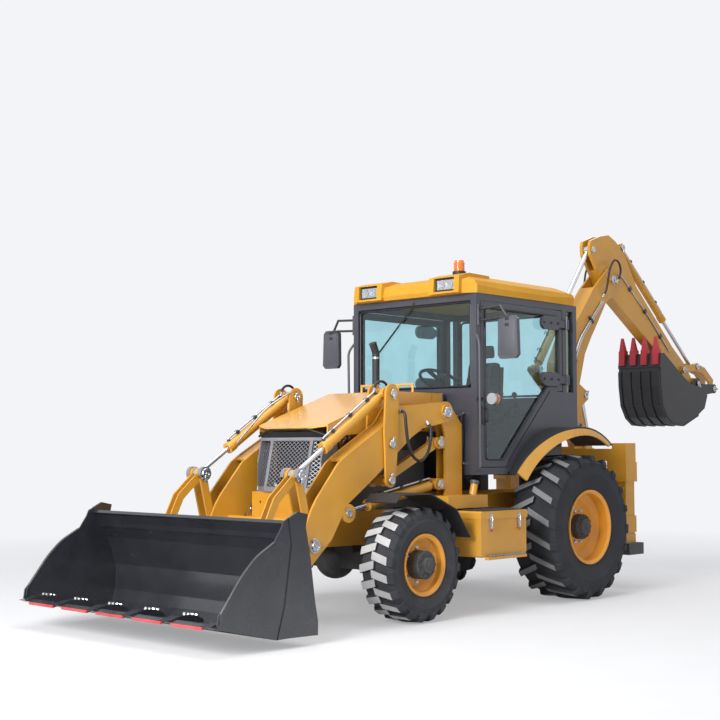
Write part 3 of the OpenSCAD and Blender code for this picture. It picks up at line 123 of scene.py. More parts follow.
def makeDustGroup():
    # pale dust that lies low on the machine and on faces that look up
    tree, given, result = newGroup("siteDust", [
        ("Color", "Color", (0.5, 0.5, 0.5, 1)), ("Dust", "Color", (0.42, 0.38, 0.33, 1)),
        ("Reach", "Float", 0.9), ("Low", "Float", 0.35), ("Top", "Float", 0.12)],
        [("Color", "Color"), ("Mask", "Float")])
    where = objectCoords(tree)
    cloud = noise(tree, where, Scale=4.5, Detail=6.0, Roughness=0.65)
    speck = noise(tree, where, Scale=70.0, Detail=3.0)
    low = remap(tree, calc(tree, "DIVIDE", height(tree, where), given["Reach"]), 0.1, 1.0, 1.0, 0.0)
    facing = addNode(tree, "ShaderNodeNewGeometry")
    top = remap(tree, height(tree, facing.outputs["Normal"]), 0.55, 1.0)
    both = calc(tree, "ADD", times(tree, low, given["Low"]), times(tree, top, given["Top"]))
    patch = remap(tree, cloud, 0.35, 0.68, 0.25, 1.6)
    fine = remap(tree, speck, 0.3, 0.7, 0.7, 1.25)
    mask = remap(tree, times(tree, times(tree, both, patch), fine), 0.0, 1.0)
    fill(result, {"Color": mixColor(tree, mask, given["Color"], given["Dust"]), "Mask": mask})
    return tree


def makeScuffGroup():
    # short bright scratches and rubbed patches; Stretch draws them out along X
    tree, given, result = newGroup("scuffs", [
        ("Amount", "Float", 0.3), ("Scale", "Float", 9.0), ("Stretch", "Vector", (0.25, 1.0, 1.0))],
        [("Mask", "Float"), ("Height", "Float")])
    where = objectCoords(tree)
    pull = fill(addNode(tree, "ShaderNodeVectorMath", operation="MULTIPLY"), {0: where, 1: given["Stretch"]})
    fine = noise(tree, pull.outputs[0], Scale=times(tree, given["Scale"], 6.0), Detail=8.0, Roughness=0.75,
                 Distortion=0.6)
    broad = noise(tree, where, Scale=given["Scale"], Detail=4.0)
    mask = times(tree, remap(tree, fine, 0.6, 0.72), remap(tree, broad, 0.45, 0.7))
    mask = times(tree, mask, given["Amount"])
    fill(result, {"Mask": mask, "Height": times(tree, mask, -1.0)})
    return tree


def makeGrainGroup():
    # orange peel of sprayed paint or the grain of moulded plastic, and slow changes of tone
    tree, given, result = newGroup("surfaceGrain", [("Grain", "Float", 300.0), ("Wave", "Float", 2.5)],
                                   [("Height", "Float"), ("Tone", "Float")])
    where = objectCoords(tree)
    fill(result, {"Height": noise(tree, where, Scale=given["Grain"], Detail=2.0, Roughness=0.5),
                  "Tone": noise(tree, where, Scale=given["Wave"], Detail=5.0, Roughness=0.6)})
    return tree


siteDust = makeDustGroup()
scuffs = makeScuffGroup()
surfaceGrain = makeGrainGroup()


def newFinish(name):
    mat = bpy.data.materials.new(name)
    mat.use_nodes = True
    tree = mat.node_tree
    return mat, tree, tree.nodes["Principled BSDF"]


def coatedFinish(name, look):
    mat, tree, shader = newFinish(name)
    grain = useGroup(tree, surfaceGrain, Grain=look["grain"], Wave=2.5).outputs
    worn = useGroup(tree, scuffs, Amount=look["scuff"], Scale=look.get("scuffScale", 9.0),
                    Stretch=look.get("stretch", (0.25, 1.0, 1.0))).outputs
    base = mixColor(tree, remap(tree, grain["Tone"], 0.3, 0.7), look["deep"], look["color"])
    base = mixColor(tree, worn["Mask"], base, look["bare"])
    dust = useGroup(tree, siteDust, Color=base, Dust=(*look.get("dust", (0.40, 0.36, 0.31)), 1),
                    Reach=look.get("reach", 0.9), Low=look["dustLow"], Top=look["dustTop"]).outputs
    rough = remap(tree, grain["Tone"], 0.3, 0.7, look["rough"] - 0.05, look["rough"] + 0.06)
    rough = calc(tree, "ADD", rough, times(tree, dust["Mask"], 0.45))
    rough = calc(tree, "ADD", rough, times(tree, worn["Mask"], 0.15))
    peel = addNode(tree, "ShaderNodeBump", Strength=look["bump"], Distance=0.001, Height=grain["Height"])
    dent = addNode(tree, "ShaderNodeBump", Strength=0.35, Distance=0.001, Height=worn["Height"],
                   Normal=peel.outputs["Normal"])
    fill(shader, {"Base Color": dust["Color"], "Roughness": rough, "Normal": dent.outputs["Normal"],
                  "Metallic": look.get("metallic", 0.0), "Specular IOR Level": look.get("specular", 0.5),
                  "Coat Weight": look.get("coat", 0.0), "Coat Roughness": 0.12})
    return mat


looks = {
    "yellowPaint": dict(
        color=(0.620, 0.300, 0.026), deep=(0.530, 0.245, 0.018), bare=(0.30, 0.15, 0.04), rough=0.38,
        grain=420.0, bump=0.10, scuff=0.30, dustLow=0.16, dustTop=0.06, coat=0.22, reach=1.0,
        dust=(0.36, 0.28, 0.19)),
    "roofPaint": dict(
        color=(0.640, 0.320, 0.034), deep=(0.560, 0.265, 0.024), bare=(0.30, 0.15, 0.04), rough=0.58,
        grain=420.0, bump=0.10, scuff=0.2, dustLow=0.0, dustTop=0.04, specular=0.15),
    "hoodPaint": dict(
        color=(0.700, 0.360, 0.055), deep=(0.620, 0.300, 0.040), bare=(0.34, 0.17, 0.05), rough=0.30,
        grain=420.0, bump=0.08, scuff=0.18, dustLow=0.1, dustTop=0.14, coat=0.45),
    "rimPaint": dict(
        color=(0.760, 0.330, 0.022), deep=(0.640, 0.250, 0.015), bare=(0.28, 0.13, 0.05), rough=0.42,
        grain=380.0, bump=0.12, scuff=0.35, dustLow=0.12, dustTop=0.10, coat=0.15, reach=1.3,
        dust=(0.34, 0.24, 0.15)),
    "bucketPaint": dict(
        color=(0.028, 0.030, 0.036), deep=(0.018, 0.019, 0.024), bare=(0.085, 0.09, 0.10), rough=0.20,
        grain=260.0, bump=0.08, scuff=0.55, scuffScale=5.0, dustLow=0.07, dustTop=0.03, metallic=0.15,
        coat=0.5, stretch=(1.0, 0.16, 1.0), dust=(0.16, 0.16, 0.17)),
    "digBucketPaint": dict(
        color=(0.034, 0.034, 0.039), deep=(0.020, 0.020, 0.024), bare=(0.12, 0.12, 0.125), rough=0.38,
        grain=260.0, bump=0.2, scuff=0.6, scuffScale=8.0, dustLow=0.0, dustTop=0.12, metallic=0.2,
        dust=(0.16, 0.16, 0.17)),
    "cabPaint": dict(
        color=(0.056, 0.058, 0.074), deep=(0.040, 0.042, 0.054), bare=(0.12, 0.12, 0.13), rough=0.38,
        grain=500.0, bump=0.12, scuff=0.15, dustLow=0.1, dustTop=0.10, coat=0.2),
    "blackPlastic": dict(
        color=(0.016, 0.017, 0.019), deep=(0.010, 0.010, 0.012), bare=(0.05, 0.05, 0.05), rough=0.52,
        grain=900.0, bump=0.3, scuff=0.2, dustLow=0.08, dustTop=0.06, dust=(0.08, 0.08, 0.085)),
    "greyPlastic": dict(
        color=(0.085, 0.088, 0.105), deep=(0.062, 0.064, 0.078), bare=(0.16, 0.16, 0.17), rough=0.45,
        grain=800.0, bump=0.25, scuff=0.2, dustLow=0.1, dustTop=0.08),
    "castIron": dict(
        color=(0.024, 0.025, 0.028), deep=(0.014, 0.014, 0.016), bare=(0.09, 0.085, 0.08), rough=0.58,
        grain=160.0, bump=0.45, scuff=0.3, dustLow=0.40, dustTop=0.16, reach=1.0, dust=(0.17, 0.165, 0.16)),
    "engineGrey": dict(
        color=(0.10, 0.105, 0.11), deep=(0.06, 0.062, 0.066), bare=(0.2, 0.2, 0.2), rough=0.55, grain=180.0,
        bump=0.4, scuff=0.3, dustLow=0.2, dustTop=0.25, metallic=0.3),
    "frontRubber": dict(
        color=(0.034, 0.035, 0.042), deep=(0.021, 0.022, 0.027), bare=(0.09, 0.09, 0.09), rough=0.78,
        grain=240.0, bump=0.35, scuff=0.4, dustLow=0.20, dustTop=0.15, reach=1.35, specular=0.3,
        dust=(0.13, 0.13, 0.135)),
    "frontTread": dict(
        color=(0.540, 0.535, 0.540), deep=(0.380, 0.376, 0.384), bare=(0.26, 0.26, 0.26), rough=0.82,
        grain=200.0, bump=0.5, scuff=0.5, dustLow=0.3, dustTop=0.3, reach=1.35, specular=0.3,
        dust=(0.34, 0.335, 0.335)),
    "rearRubber": dict(
        color=(0.024, 0.026, 0.032), deep=(0.015, 0.016, 0.020), bare=(0.07, 0.07, 0.07), rough=0.72,
        grain=240.0, bump=0.35, scuff=0.35, dustLow=0.14, dustTop=0.15, reach=1.6, specular=0.3,
        dust=(0.11, 0.11, 0.115)),
    "rearTread": dict(
        color=(0.230, 0.232, 0.240), deep=(0.140, 0.142, 0.150), bare=(0.20, 0.20, 0.20), rough=0.80,
        grain=200.0, bump=0.5, scuff=0.5, dustLow=0.3, dustTop=0.25, reach=1.6, specular=0.3,
        dust=(0.20, 0.20, 0.20)),
    "hoseRubber": dict(
        color=(0.014, 0.014, 0.016), deep=(0.008, 0.008, 0.009), bare=(0.05, 0.05, 0.05), rough=0.42,
        grain=700.0, bump=0.25, scuff=0.15, dustLow=0.1, dustTop=0.05),
    "greyMesh": dict(
        color=(0.30, 0.30, 0.32), deep=(0.21, 0.215, 0.235), bare=(0.35, 0.36, 0.38), rough=0.4,
        grain=400.0, bump=0.15, scuff=0.3, dustLow=0.1, dustTop=0.15, metallic=0.5),
    "radiatorBlack": dict(
        color=(0.012, 0.013, 0.015), deep=(0.008, 0.008, 0.010), bare=(0.05, 0.05, 0.05), rough=0.6,
        grain=220.0, bump=0.6, scuff=0.1, dustLow=0.2, dustTop=0.1, metallic=0.2),
    "toothRed": dict(
        color=(0.52, 0.030, 0.045), deep=(0.38, 0.020, 0.032), bare=(0.25, 0.2, 0.2), rough=0.4,
        grain=350.0, bump=0.15, scuff=0.5, dustLow=0.1, dustTop=0.1),
    "zincSteel": dict(
        color=(0.56, 0.57, 0.59), deep=(0.42, 0.43, 0.45), bare=(0.66, 0.66, 0.66), rough=0.27, grain=260.0,
        bump=0.12, scuff=0.35, dustLow=0.08, dustTop=0.05, metallic=1.0),
    "darkSteel": dict(
        color=(0.10, 0.10, 0.105), deep=(0.06, 0.06, 0.065), bare=(0.3, 0.3, 0.3), rough=0.36, grain=260.0,
        bump=0.15, scuff=0.35, dustLow=0.1, dustTop=0.05, metallic=0.8),
    "chromeRod": dict(
        color=(0.74, 0.75, 0.78), deep=(0.65, 0.66, 0.69), bare=(0.5, 0.5, 0.5), rough=0.12, grain=120.0,
        bump=0.02, scuff=0.1, dustLow=0.03, dustTop=0.02, metallic=1.0),
    "mirrorGlass": dict(
        color=(0.78, 0.80, 0.82), deep=(0.72, 0.74, 0.77), bare=(0.6, 0.6, 0.6), rough=0.08, grain=60.0,
        bump=0.01, scuff=0.05, dustLow=0.02, dustTop=0.02, metallic=1.0),
    "chairCloth": dict(
        color=(0.030, 0.033, 0.040), deep=(0.018, 0.020, 0.026), bare=(0.06, 0.06, 0.07), rough=0.85,
        grain=520.0, bump=0.7, scuff=0.1, dustLow=0.0, dustTop=0.05, specular=0.3),
}
finish = {name: coatedFinish(name, look) for name, look in looks.items()}


def glassFinish(name, tint, rough):
    mat, tree, shader = newFinish(name)
    smear = useGroup(tree, surfaceGrain, Grain=40.0, Wave=1.6).outputs["Tone"]
    tone = mixColor(tree, remap(tree, smear, 0.35, 0.7), tint, tuple(0.93 * v for v in tint))
    fill(shader, {"Transmission Weight": 1.0, "IOR": 1.45, "Base Color": tone,
                  "Roughness": remap(tree, smear, 0.4, 0.75, rough, rough + 0.03)})
    return mat


def lensFinish(name, color, deep, across):
    # moulded lens: fine flutes across one axis in its height; painted shade makes the colour deeper in the
    # hollows of the flutes
    mat, tree, shader = newFinish(name)
    where = objectCoords(tree)
    wave = addNode(tree, "ShaderNodeTexWave", bands_direction=across, Scale=28.0, Vector=where)
    flutesAndPaintedShade = wave.outputs["Fac"]
    ridge = addNode(tree, "ShaderNodeBump", Strength=0.35, Distance=0.002, Height=flutesAndPaintedShade)
    haze = remap(tree, noise(tree, where, Scale=30.0, Detail=3.0), 0.3, 0.7, 0.14, 0.24)
    # the second colour, deep, is painted shade laid in the hollows of the flutes
    fill(shader, {"Coat Weight": 0.6, "Coat Roughness": 0.05, "Subsurface Weight": 0.25,
                  "Subsurface Scale": 0.01, "Base Color": mixColor(tree, flutesAndPaintedShade, deep, color),
                  "Roughness": haze, "Normal": ridge.outputs["Normal"]})
    return mat


finish["cabGlass"] = glassFinish("cabGlass", (0.64, 0.86, 0.90), 0.01)
# the second colour of each lens is its painted shade in the hollows of the flutes
finish["amberLens"] = lensFinish("amberLens", (0.90, 0.26, 0.012), (0.62, 0.12, 0.006), "Z")
finish["clearLens"] = lensFinish("clearLens", (0.46, 0.48, 0.50), (0.22, 0.24, 0.27), "Y")
print("stage 2: finishes made")

nodesByFinish = {
    "yellowPaint":
        "chassis_frame loader_posts side_boxes rear_frame loader_arms tilt_levers levelling_links "
        "lift_barrels tilt_barrels guide_levers bucket_links shift_carriage swing_post boom "
        "boom_barrel crowd_barrel dipper dig_barrel rocker_link dig_link stabilizer_left "
        "stabilizer_right",
    "hoodPaint": "fender_trim hood",
    "engineGrey": "engine_block",
    "castIron": "axle_housings exhaust_stack knuckle_left knuckle_right",
    "cabPaint": "cab_frame door_left door_right",
    "roofPaint": "cab_roof",
    "cabGlass": "cab_glass door_left_glass door_right_glass",
    "blackPlastic": "fenders operator_seat steering_console",
    "greyMesh": "radiator_grille",
    "amberLens": "lamps",
    "greyPlastic": "mirrors",
    "chromeRod": "lift_rods tilt_rods boom_rod crowd_rod dig_rod",
    "zincSteel": "guide_pins link_pins bucket_pins",
    "bucketPaint": "loader_bucket",
    "rimPaint": "rim_front_left rim_front_right rim_rear_left rim_rear_right",
    "frontRubber": "tyre_front_left tyre_front_right",
    "rearRubber": "tyre_rear_left tyre_rear_right",
    "digBucketPaint": "dig_bucket",
}
for look, names in nodesByFinish.items():
    for nodeName in names.split():
        cadNode[nodeName].data.materials.clear()
        cadNode[nodeName].data.materials.append(finish[look])


def paintFaces(nodeName, look, wanted):
    # a second finish on those faces of a node that wanted(x, y, z, normal) picks, from the rear axle line
    piece = cadNode[nodeName]
    piece.data.materials.append(finish[look])
    slot = len(piece.data.materials) - 1
    for face in piece.data.polygons:
        x, y, z = face.center
        if wanted(x - axleX, y, z, face.normal):
            face.material_index = slot


# Treads: [end, axle in x, tyre radius, height of a lug]; their faces are picked by direction, so that the
# wall between two lugs stays dark
treads = [("front", 2.200, 0.450, 0.024), ("rear", 0.0, 0.650, 0.036)]
beaconFoot, turnLampFront = 2.9255, 1.190
paintFaces("lamps", "clearLens", lambda x, y, z, n: x > 1.26 and z > 2.6)
paintFaces("lamps", "blackPlastic", lambda x, y, z, n: 2.8 < z < beaconFoot and x < 1.2)
paintFaces("lamps", "blackPlastic", lambda x, y, z, n: z < 2.0 and abs(y) < 0.832)
paintFaces("lamps", "clearLens", lambda x, y, z, n: z < 2.0 and abs(y) > 0.832 and x > turnLampFront)
paintFaces("dig_bucket", "toothRed", lambda x, y, z, n: z > 2.28 and x > -2.641
           and min(abs(abs(y) - 0.070), abs(abs(y) - 0.210)) < 0.038)
for side, way in bothSides:
    paintFaces("stabilizer_" + side, "castIron", lambda x, y, z, n: z < 0.4401)
    for end, axle, radius, lug in treads:
        def onTread(x, y, z, n):
            out = math.hypot(x - axle, z - radius)
            return n.x * (x - axle) + n.z * (z - radius) > 0.72 * out and out > radius - lug * 0.55

        paintFaces(f"tyre_{end}_{side}", end + "Tread", onTread)
paintFaces("radiator_grille", "radiatorBlack", lambda x, y, z, n: x < 2.565 or z > 1.4395)
paintFaces("mirrors", "darkSteel", lambda x, y, z, n: z > 2.4395 and 0.744 < abs(y) < 1.045)
paintFaces("steering_console", "darkSteel", lambda x, y, z, n: -0.18 < x < -0.10 and 1.66 < z < 1.84)
print("stage 3: finishes on the frame")


def startClean():
    if bpy.context.mode != "OBJECT":
        bpy.ops.object.mode_set(mode="OBJECT")
    bpy.ops.object.select_all(action="DESELECT")


def only(piece):
    startClean()
    piece.select_set(True)
    bpy.context.view_layer.objects.active = piece


def editAll():
    bpy.ops.object.mode_set(mode="EDIT")
    bpy.ops.mesh.select_all(action="SELECT")


def settle(piece, name, look, body, smooth=35.0):
    # puts the place into the mesh and gives the piece its finish and the body it rides on
    only(piece)
    bpy.ops.object.transform_apply(location=True, rotation=True, scale=True)
    bpy.ops.object.shade_smooth_by_angle(angle=math.radians(smooth))
    piece.name = name
    piece.data.materials.clear()
    piece.data.materials.append(finish[look])
    if body:
        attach(piece, body)
    return piece


def cleanMesh(piece):
    only(piece)
    editAll()
    bpy.ops.mesh.remove_doubles(threshold=0.00005)
    bpy.ops.mesh.normals_make_consistent(inside=False)
    bpy.ops.object.mode_set(mode="OBJECT")


def roundEdges(piece, width, steps=2):
    only(piece)
    edge = piece.modifiers.new("edges", "BEVEL")
    edge.width = width
    edge.segments = steps
    edge.limit_method = "ANGLE"
    edge.angle_limit = math.radians(30)
    bpy.ops.object.modifier_apply(modifier="edges")


def turned(name, rings, place, axis, look, body, sides=32, smooth=35.0):
    # a disc drawn out ring by ring along the axis; each ring is (radius, along)
    startClean()
    radius, along = rings[0]
    bpy.ops.mesh.primitive_circle_add(vertices=sides, radius=radius, fill_type="NGON", location=(0, 0, 0))
    piece = bpy.context.active_object
    editAll()
    bpy.ops.transform.translate(value=(0, 0, along))
    for nextRadius, nextAlong in rings[1:]:
        bpy.ops.mesh.extrude_region_move(TRANSFORM_OT_translate={"value": (0, 0, nextAlong - along)})
        ratio = nextRadius / radius
        bpy.ops.transform.resize(value=(ratio, ratio, 1.0), center_override=(0, 0, nextAlong))
        radius, along = nextRadius, nextAlong
    cleanMesh(piece)
    piece.rotation_euler = Vector(axis).to_track_quat("Z", "Y").to_euler()
    piece.location = place
    return settle(piece, name, look, body, smooth)


def rawBox(low, high, way):
    # a plain box between two corners; way -1 puts it on the machine's right side
    startClean()
    spans = list(zip((low[0], way * low[1], low[2]), (high[0], way * high[1], high[2])))
    bpy.ops.mesh.primitive_cube_add(size=1.0, location=(0, 0, 0))
    piece = bpy.context.active_object
    piece.scale = [abs(b - a) for a, b in spans]
    bpy.ops.object.transform_apply(location=False, rotation=False, scale=True)
    piece.location = at(*[(a + b) / 2 for a, b in spans])
    return piece


def block(name, low, high, look, body, bevel=0.004, lean=0, steps=2, way=1):
    # a machined or moulded block with rounded edges, leaning about Y by so many degrees
    piece = rawBox(low, high, way)
    piece.rotation_euler = (0, math.radians(lean), 0)
    roundEdges(piece, bevel, steps)
    return settle(piece, name, look, body)


def plate(name, outline, near, far, look, body, bevel=0.003):
    # a flat plate cut to an outline in X and Z and drawn out in Y
    startClean()
    bpy.ops.mesh.primitive_circle_add(vertices=len(outline), radius=1.0, fill_type="NGON", location=(0, 0, 0))
    piece = bpy.context.active_object
    for vertex, (x, z) in zip(piece.data.vertices, outline):
        vertex.co = at(x, near, z)
    editAll()
    bpy.ops.mesh.extrude_region_move(TRANSFORM_OT_translate={"value": (0, far - near, 0)})
    cleanMesh(piece)
    roundEdges(piece, bevel)
    return settle(piece, name, look, body)


def softCorners(points, bend):
    # the run with each corner rounded off over the length bend
    line = [points[0]]
    for before, corner, after in zip(points, points[1:], points[2:]):
        back, on = before - corner, after - corner
        reach = min(bend, back.length * 0.45, on.length * 0.45)
        start, end = corner + back.normalized() * reach, corner + on.normalized() * reach
        for step in range(6):
            t = step / 5
            line.append(start * (1 - t) ** 2 + corner * (2 * t * (1 - t)) + end * t ** 2)
    line.append(points[-1])
    return line


def flowing(points, steps=6):
    # a smooth line through the points, for hoses
    ends = [points[0] * 2 - points[1]] + points + [points[-1] * 2 - points[-2]]
    line = []
    for a, b, c, d in zip(ends, ends[1:], ends[2:], ends[3:]):
        for step in range(steps):
            t = step / steps
            line.append(0.5 * (2 * b + (c - a) * t + (2 * a - 5 * b + 4 * c - d) * t ** 2
                               + (3 * b - a - 3 * c + d) * t ** 3))
    line.append(points[-1])
    return line


def drawnLine(name, line, diameter, look, closed=False):
    # a round bar along the line, still a curve
    startClean()
    bpy.ops.curve.primitive_bezier_curve_add(location=(0, 0, 0))
    piece = bpy.context.active_object
    piece.name = name
    curve = piece.data
    curve.splines.clear()
    spline = curve.splines.new("POLY")
    spline.points.add(len(line) - 1)
    for point, place in zip(spline.points, line):
        point.co = (*place, 1.0)
    spline.use_cyclic_u = closed
    spline.use_smooth = True
    curve.dimensions = "3D"
    curve.bevel_depth = diameter / 2
    curve.bevel_resolution = 3
    curve.use_fill_caps = not closed
    curve.materials.clear()
    curve.materials.append(finish[look])
    return piece


def tube(name, points, diameter, look, body, bend=0.05, closed=False):
    # a rigid steel tube or rubber seal, bent at its corners
    if closed:
        line = softCorners(points + points[:2], bend)[1:-1]
    else:
        line = softCorners(points, bend)
    only(drawnLine(name, line, diameter, look, closed))
    bpy.ops.object.convert(target="MESH")
    piece = bpy.context.active_object
    cleanMesh(piece)
    return settle(piece, name, look, body, 50.0)


def together(parts, name, body):
    startClean()
    for part in parts:
        part.select_set(True)
    bpy.context.view_layer.objects.active = parts[0]
    if len(parts) > 1:
        bpy.ops.object.join()
    piece = bpy.context.active_object
    piece.name = name
    if body:
        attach(piece, body)
    return piece


def copied(piece):
    # a copy with its own mesh
    twin = piece.copy()
    twin.data = piece.data.copy()
    bpy.context.scene.collection.objects.link(twin)
    return twin


def scatter(master, name, spots, body):
    # a copy of the master at each spot, then joined
    twins = [copied(master) for spot in spots]
    for twin, spot in zip(twins, spots):
        twin.data.transform(spot)
    return together(twins, name, body)


def facing(place, axis, size=1.0, spin=0.0):
    turn = Vector(axis).to_track_quat("Z", "Y").to_matrix().to_4x4()
    return Matrix.Translation(place) @ turn @ Matrix.Rotation(spin, 4, "Z") @ Matrix.Scale(size, 4)


def outward(x, y, z, way, size):
    # a place on one side of the machine that looks away from it
    return facing(at(x, way * y, z), (0, way, 0), size)


def boltRing(x, y, z, radius, count, way, size):
    # places for bolts round a hub or a wheel disc
    turns = [2 * math.pi * k / count for k in range(count)]
    return [outward(x + radius * math.cos(t), y, z + radius * math.sin(t), way, size) for t in turns]


# Fasteners, made once each and copied from here on
upright = ((0, 0, 0), (0, 0, 1))
washer = turned("washer", [(0.0165, 0.0), (0.0165, 0.0025), (0.0155, 0.003)], *upright, "zincSteel", None, 20)
head = turned(
    "head", [(0.0125, 0.002), (0.0135, 0.004), (0.0135, 0.0105), (0.0118, 0.0125), (0.006, 0.0125)],
    *upright, "zincSteel", None, 6, 20)
boltMaster = together([washer, head], "boltMaster", None)
disc = turned(
    "disc", [(0.034, 0.0), (0.034, 0.007), (0.031, 0.011), (0.019, 0.011), (0.017, 0.008), (0.007, 0.008),
             (0.0055, 0.010), (0.0055, 0.013), (0.003, 0.016)], *upright, "zincSteel", None, 28)
origin = -axleX  # at() turns this X into the frame's own zero, round which masters are built
keeper = block("keeper", (origin + 0.010, -0.012, 0.009), (origin + 0.058, 0.012, 0.0145),
               "zincSteel", None, 0.002)
keeperBolt = scatter(boltMaster, "keeperBolt", [facing((0.047, 0, 0.0140), (0, 0, 1), 0.62)], None)
pinMaster = together([disc, keeper, keeperBolt], "pinMaster", None)
blackBolt = copied(boltMaster)
blackBolt.data.materials.clear()
blackBolt.data.materials.append(finish["castIron"])

# Pin heads: [body, x, z, end of the pin in y, size, turn of the keeper]; loader pins also have an inner end
loaderPins = [
    ["loader_arms", 1.520, 1.660, 0.6500, 1.45, 200], ["machine", 1.578, 1.400, 0.6170, 1.0, 90],
    ["machine", 1.580, 1.058, 0.6170, 1.0, 200], ["tilt_levers", 2.236, 1.390, 0.6690, 1.0, 80],
    ["tilt_levers", 2.221, 1.797, 0.6690, 1.0, 270], ["tilt_levers", 2.242, 1.100, 0.6670, 1.0, 90],
    ["loader_arms", 2.697, 0.856, 0.6350, 1.0, 140], ["guide_pins", 3.076, 0.625, 0.6520, 1.25, 120],
    ["link_pins", 3.211, 1.155, 0.6460, 1.25, 260], ["bucket_pins", 3.470, 0.245, 0.6520, 1.25, 110],
    ["loader_bucket", 3.540, 0.590, 0.6110, 1.0, 20]]
hoePins = [
    ["swing_post", -1.830, 0.520, 0.131, 1.0, 0],
    ["boom", -1.430, 1.900, 0.067, 1.0, 60], ["boom", -1.885, 3.150, 0.125, 1.2, 320],
    ["boom", -0.631, 2.140, 0.065, 1.0, 240], ["dipper", -1.600, 3.445, 0.065, 1.0, 200],
    ["dipper", -2.190, 3.530, 0.060, 1.0, 270], ["rocker_link", -3.400, 2.250, 0.095, 1.0, 0],
    ["dig_link", -3.720, 2.300, 0.090, 1.0, 10], ["dig_bucket", -3.680, 2.100, 0.120, 1.0, 300],
    ["dig_bucket", -4.070, 2.055, 0.111, 1.0, 0]]
bothEnds = 1.110  # a loader pin's outer and inner end add up to this
pinSpots = {}
for pins, loader in ((loaderPins, True), (hoePins, False)):
    for body, x, z, end, size, keeperTurn in pins:
        for side, way in bothSides:
            for y, out in ((end, 1), (bothEnds - end, -1)) if loader else ((end, 1),):
                pinSpots.setdefault(body, []).append(
                    facing(at(x, way * y, z), (0, way * out, 0), size, math.radians(keeperTurn)))
for body, places in pinSpots.items():
    scatter(pinMaster, "pinHeads_" + body, places, body)
print("stage 4: pin heads")

# Wheels: hub covers, wheel bolts, valve stems; disc is the rim's outer face in Y, stem the valve's radius
wheelKit = dict(
    front=dict(x=2.200, z=0.450, disc=0.884, ring=0.134, bolts=8, stem=0.185, stemOut=0.030),
    rear=dict(x=0.0, z=0.650, disc=0.906, ring=0.146, bolts=10, stem=0.265, stemOut=0.034))
valveLean = 0.4
frontHub = [(0.1115, 0.0), (0.1115, 0.006), (0.104, 0.014), (0.066, 0.018), (0.063, 0.022)]
frontNose = [(0.0600, 0.0), (0.0600, 0.003), (0.054, 0.008), (0.030, 0.010), (0.028, 0.014), (0.010, 0.015)]
rearHub = [(0.1115, 0.0), (0.1115, 0.008), (0.104, 0.018), (0.078, 0.022), (0.074, 0.040), (0.060, 0.048),
           (0.022, 0.050), (0.019, 0.060), (0.008, 0.061)]
valve = [(0.0065, 0.0), (0.0065, 0.022), (0.0048, 0.024), (0.0048, 0.034), (0.0058, 0.035), (0.0058, 0.046),
         (0.004, 0.048)]
for side, way in bothSides:
    knuckle = side + "_knuckle"
    turned("frontHub_" + side, frontHub, at(2.200, way * 0.980, 0.450), (0, way, 0), "castIron", knuckle, 40)
    turned("frontHubNose_" + side, frontNose, at(2.200, way * 1.020, 0.450), (0, way, 0), "castIron", knuckle)
    scatter(blackBolt, "frontHubBolts_" + side, boltRing(2.200, 0.995, 0.450, 0.088, 10, way, 0.9), knuckle)
    turned("rearHub_" + side, rearHub, at(0, way * 0.962, 0.650), (0, way, 0), "castIron", "machine", 44)
    scatter(blackBolt, "rearHubBolts_" + side, boltRing(0, 0.981, 0.650, 0.091, 12, way, 0.85), "machine")
    for end, kit in wheelKit.items():
        x, z, wheel = kit["x"], kit["z"], f"{end}_{side}_wheel"
        scatter(boltMaster, f"{end}WheelBolts_{side}",
                boltRing(x, kit["disc"], z, kit["ring"], kit["bolts"], way, 1.15), wheel)
        foot = at(x + kit["stem"] * math.cos(valveLean), way * (kit["disc"] + kit["stemOut"]),
                  z + kit["stem"] * math.sin(valveLean))
        turned(f"{end}Valve_{side}", valve, foot, (0.2, way, 0.1), "zincSteel", wheel, 14)
print("stage 5: wheels")

# Steel tubes on the cylinders: [name, body, foot of the cylinder, its far end, from, to, radius, y, splay]
ramKit = dict(tube=0.018, lift=0.020, clamps=3)
ramTubes = [
    ["tiltTube", "tilt_barrels", (2.221, 1.797), (3.211, 1.155), 0.080, 0.770, 0.048, 0.555, 0.0],
    ["liftTube", "lift_barrels", (1.580, 1.058), (2.697, 0.856), 0.080, 0.800, 0.048, 0.555, 0.018],
    ["boomRamTube", "boom_barrel", (-1.830, 0.520), (-1.430, 1.900), 0.100, 0.800, 0.048, 0.0, 0.0],
    ["crowdTube", "boom", (-0.631, 2.140), (-1.600, 3.445), 0.100, 0.740, 0.048, 0.0, 0.0],
    ["digTube", "dig_barrel", (-2.190, 3.530), (-3.720, 2.300), 0.100, 1.080, 0.042, 0.0, 0.0]]
port = [(0.016, -0.006), (0.016, 0.010), (0.012, 0.012), (0.012, 0.020)]
clamp = block("clamp", (origin - 0.016, -0.019, -0.012), (origin + 0.016, 0.019, 0.012),
              "darkSteel", None, 0.003)
for name, body, foot, tip, start, stop, radius, y, splay in ramTubes:
    run = Vector((tip[0] - foot[0], 0, tip[1] - foot[1])).normalized()
    up = Vector((-run.z, 0, run.x))
    if up.z < 0:
        up = -up
    for tag, way in bothSides if y else [("middle", 1)]:
        a, b = [at(foot[0], way * y, foot[1]) + run * along + up * radius * 0.96 for along in (start, stop)]
        lift = up * ramKit["lift"] + Vector((0, way * splay, 0))
        tube(f"{name}_{tag}", [a, a + lift, b + lift, b], ramKit["tube"], "zincSteel", body, 0.035)
        turn = (b - a).normalized().to_track_quat("X", "Z").to_matrix().to_4x4()
        marks = []
        for k in range(ramKit["clamps"]):
            place = a + lift + (b - a) * ((k + 0.5) / ramKit["clamps"]) - lift.normalized() * 0.004
            marks.append(Matrix.Translation(place) @ turn)
        scatter(clamp, f"{name}_{tag}Clamps", marks, body)
        ports = [turned("port", port, spot, up, "darkSteel", None, 6, 20) for spot in (a, b)]
        together(ports, f"{name}Ports_{tag}", body)
print("stage 6: tubes on the cylinders")


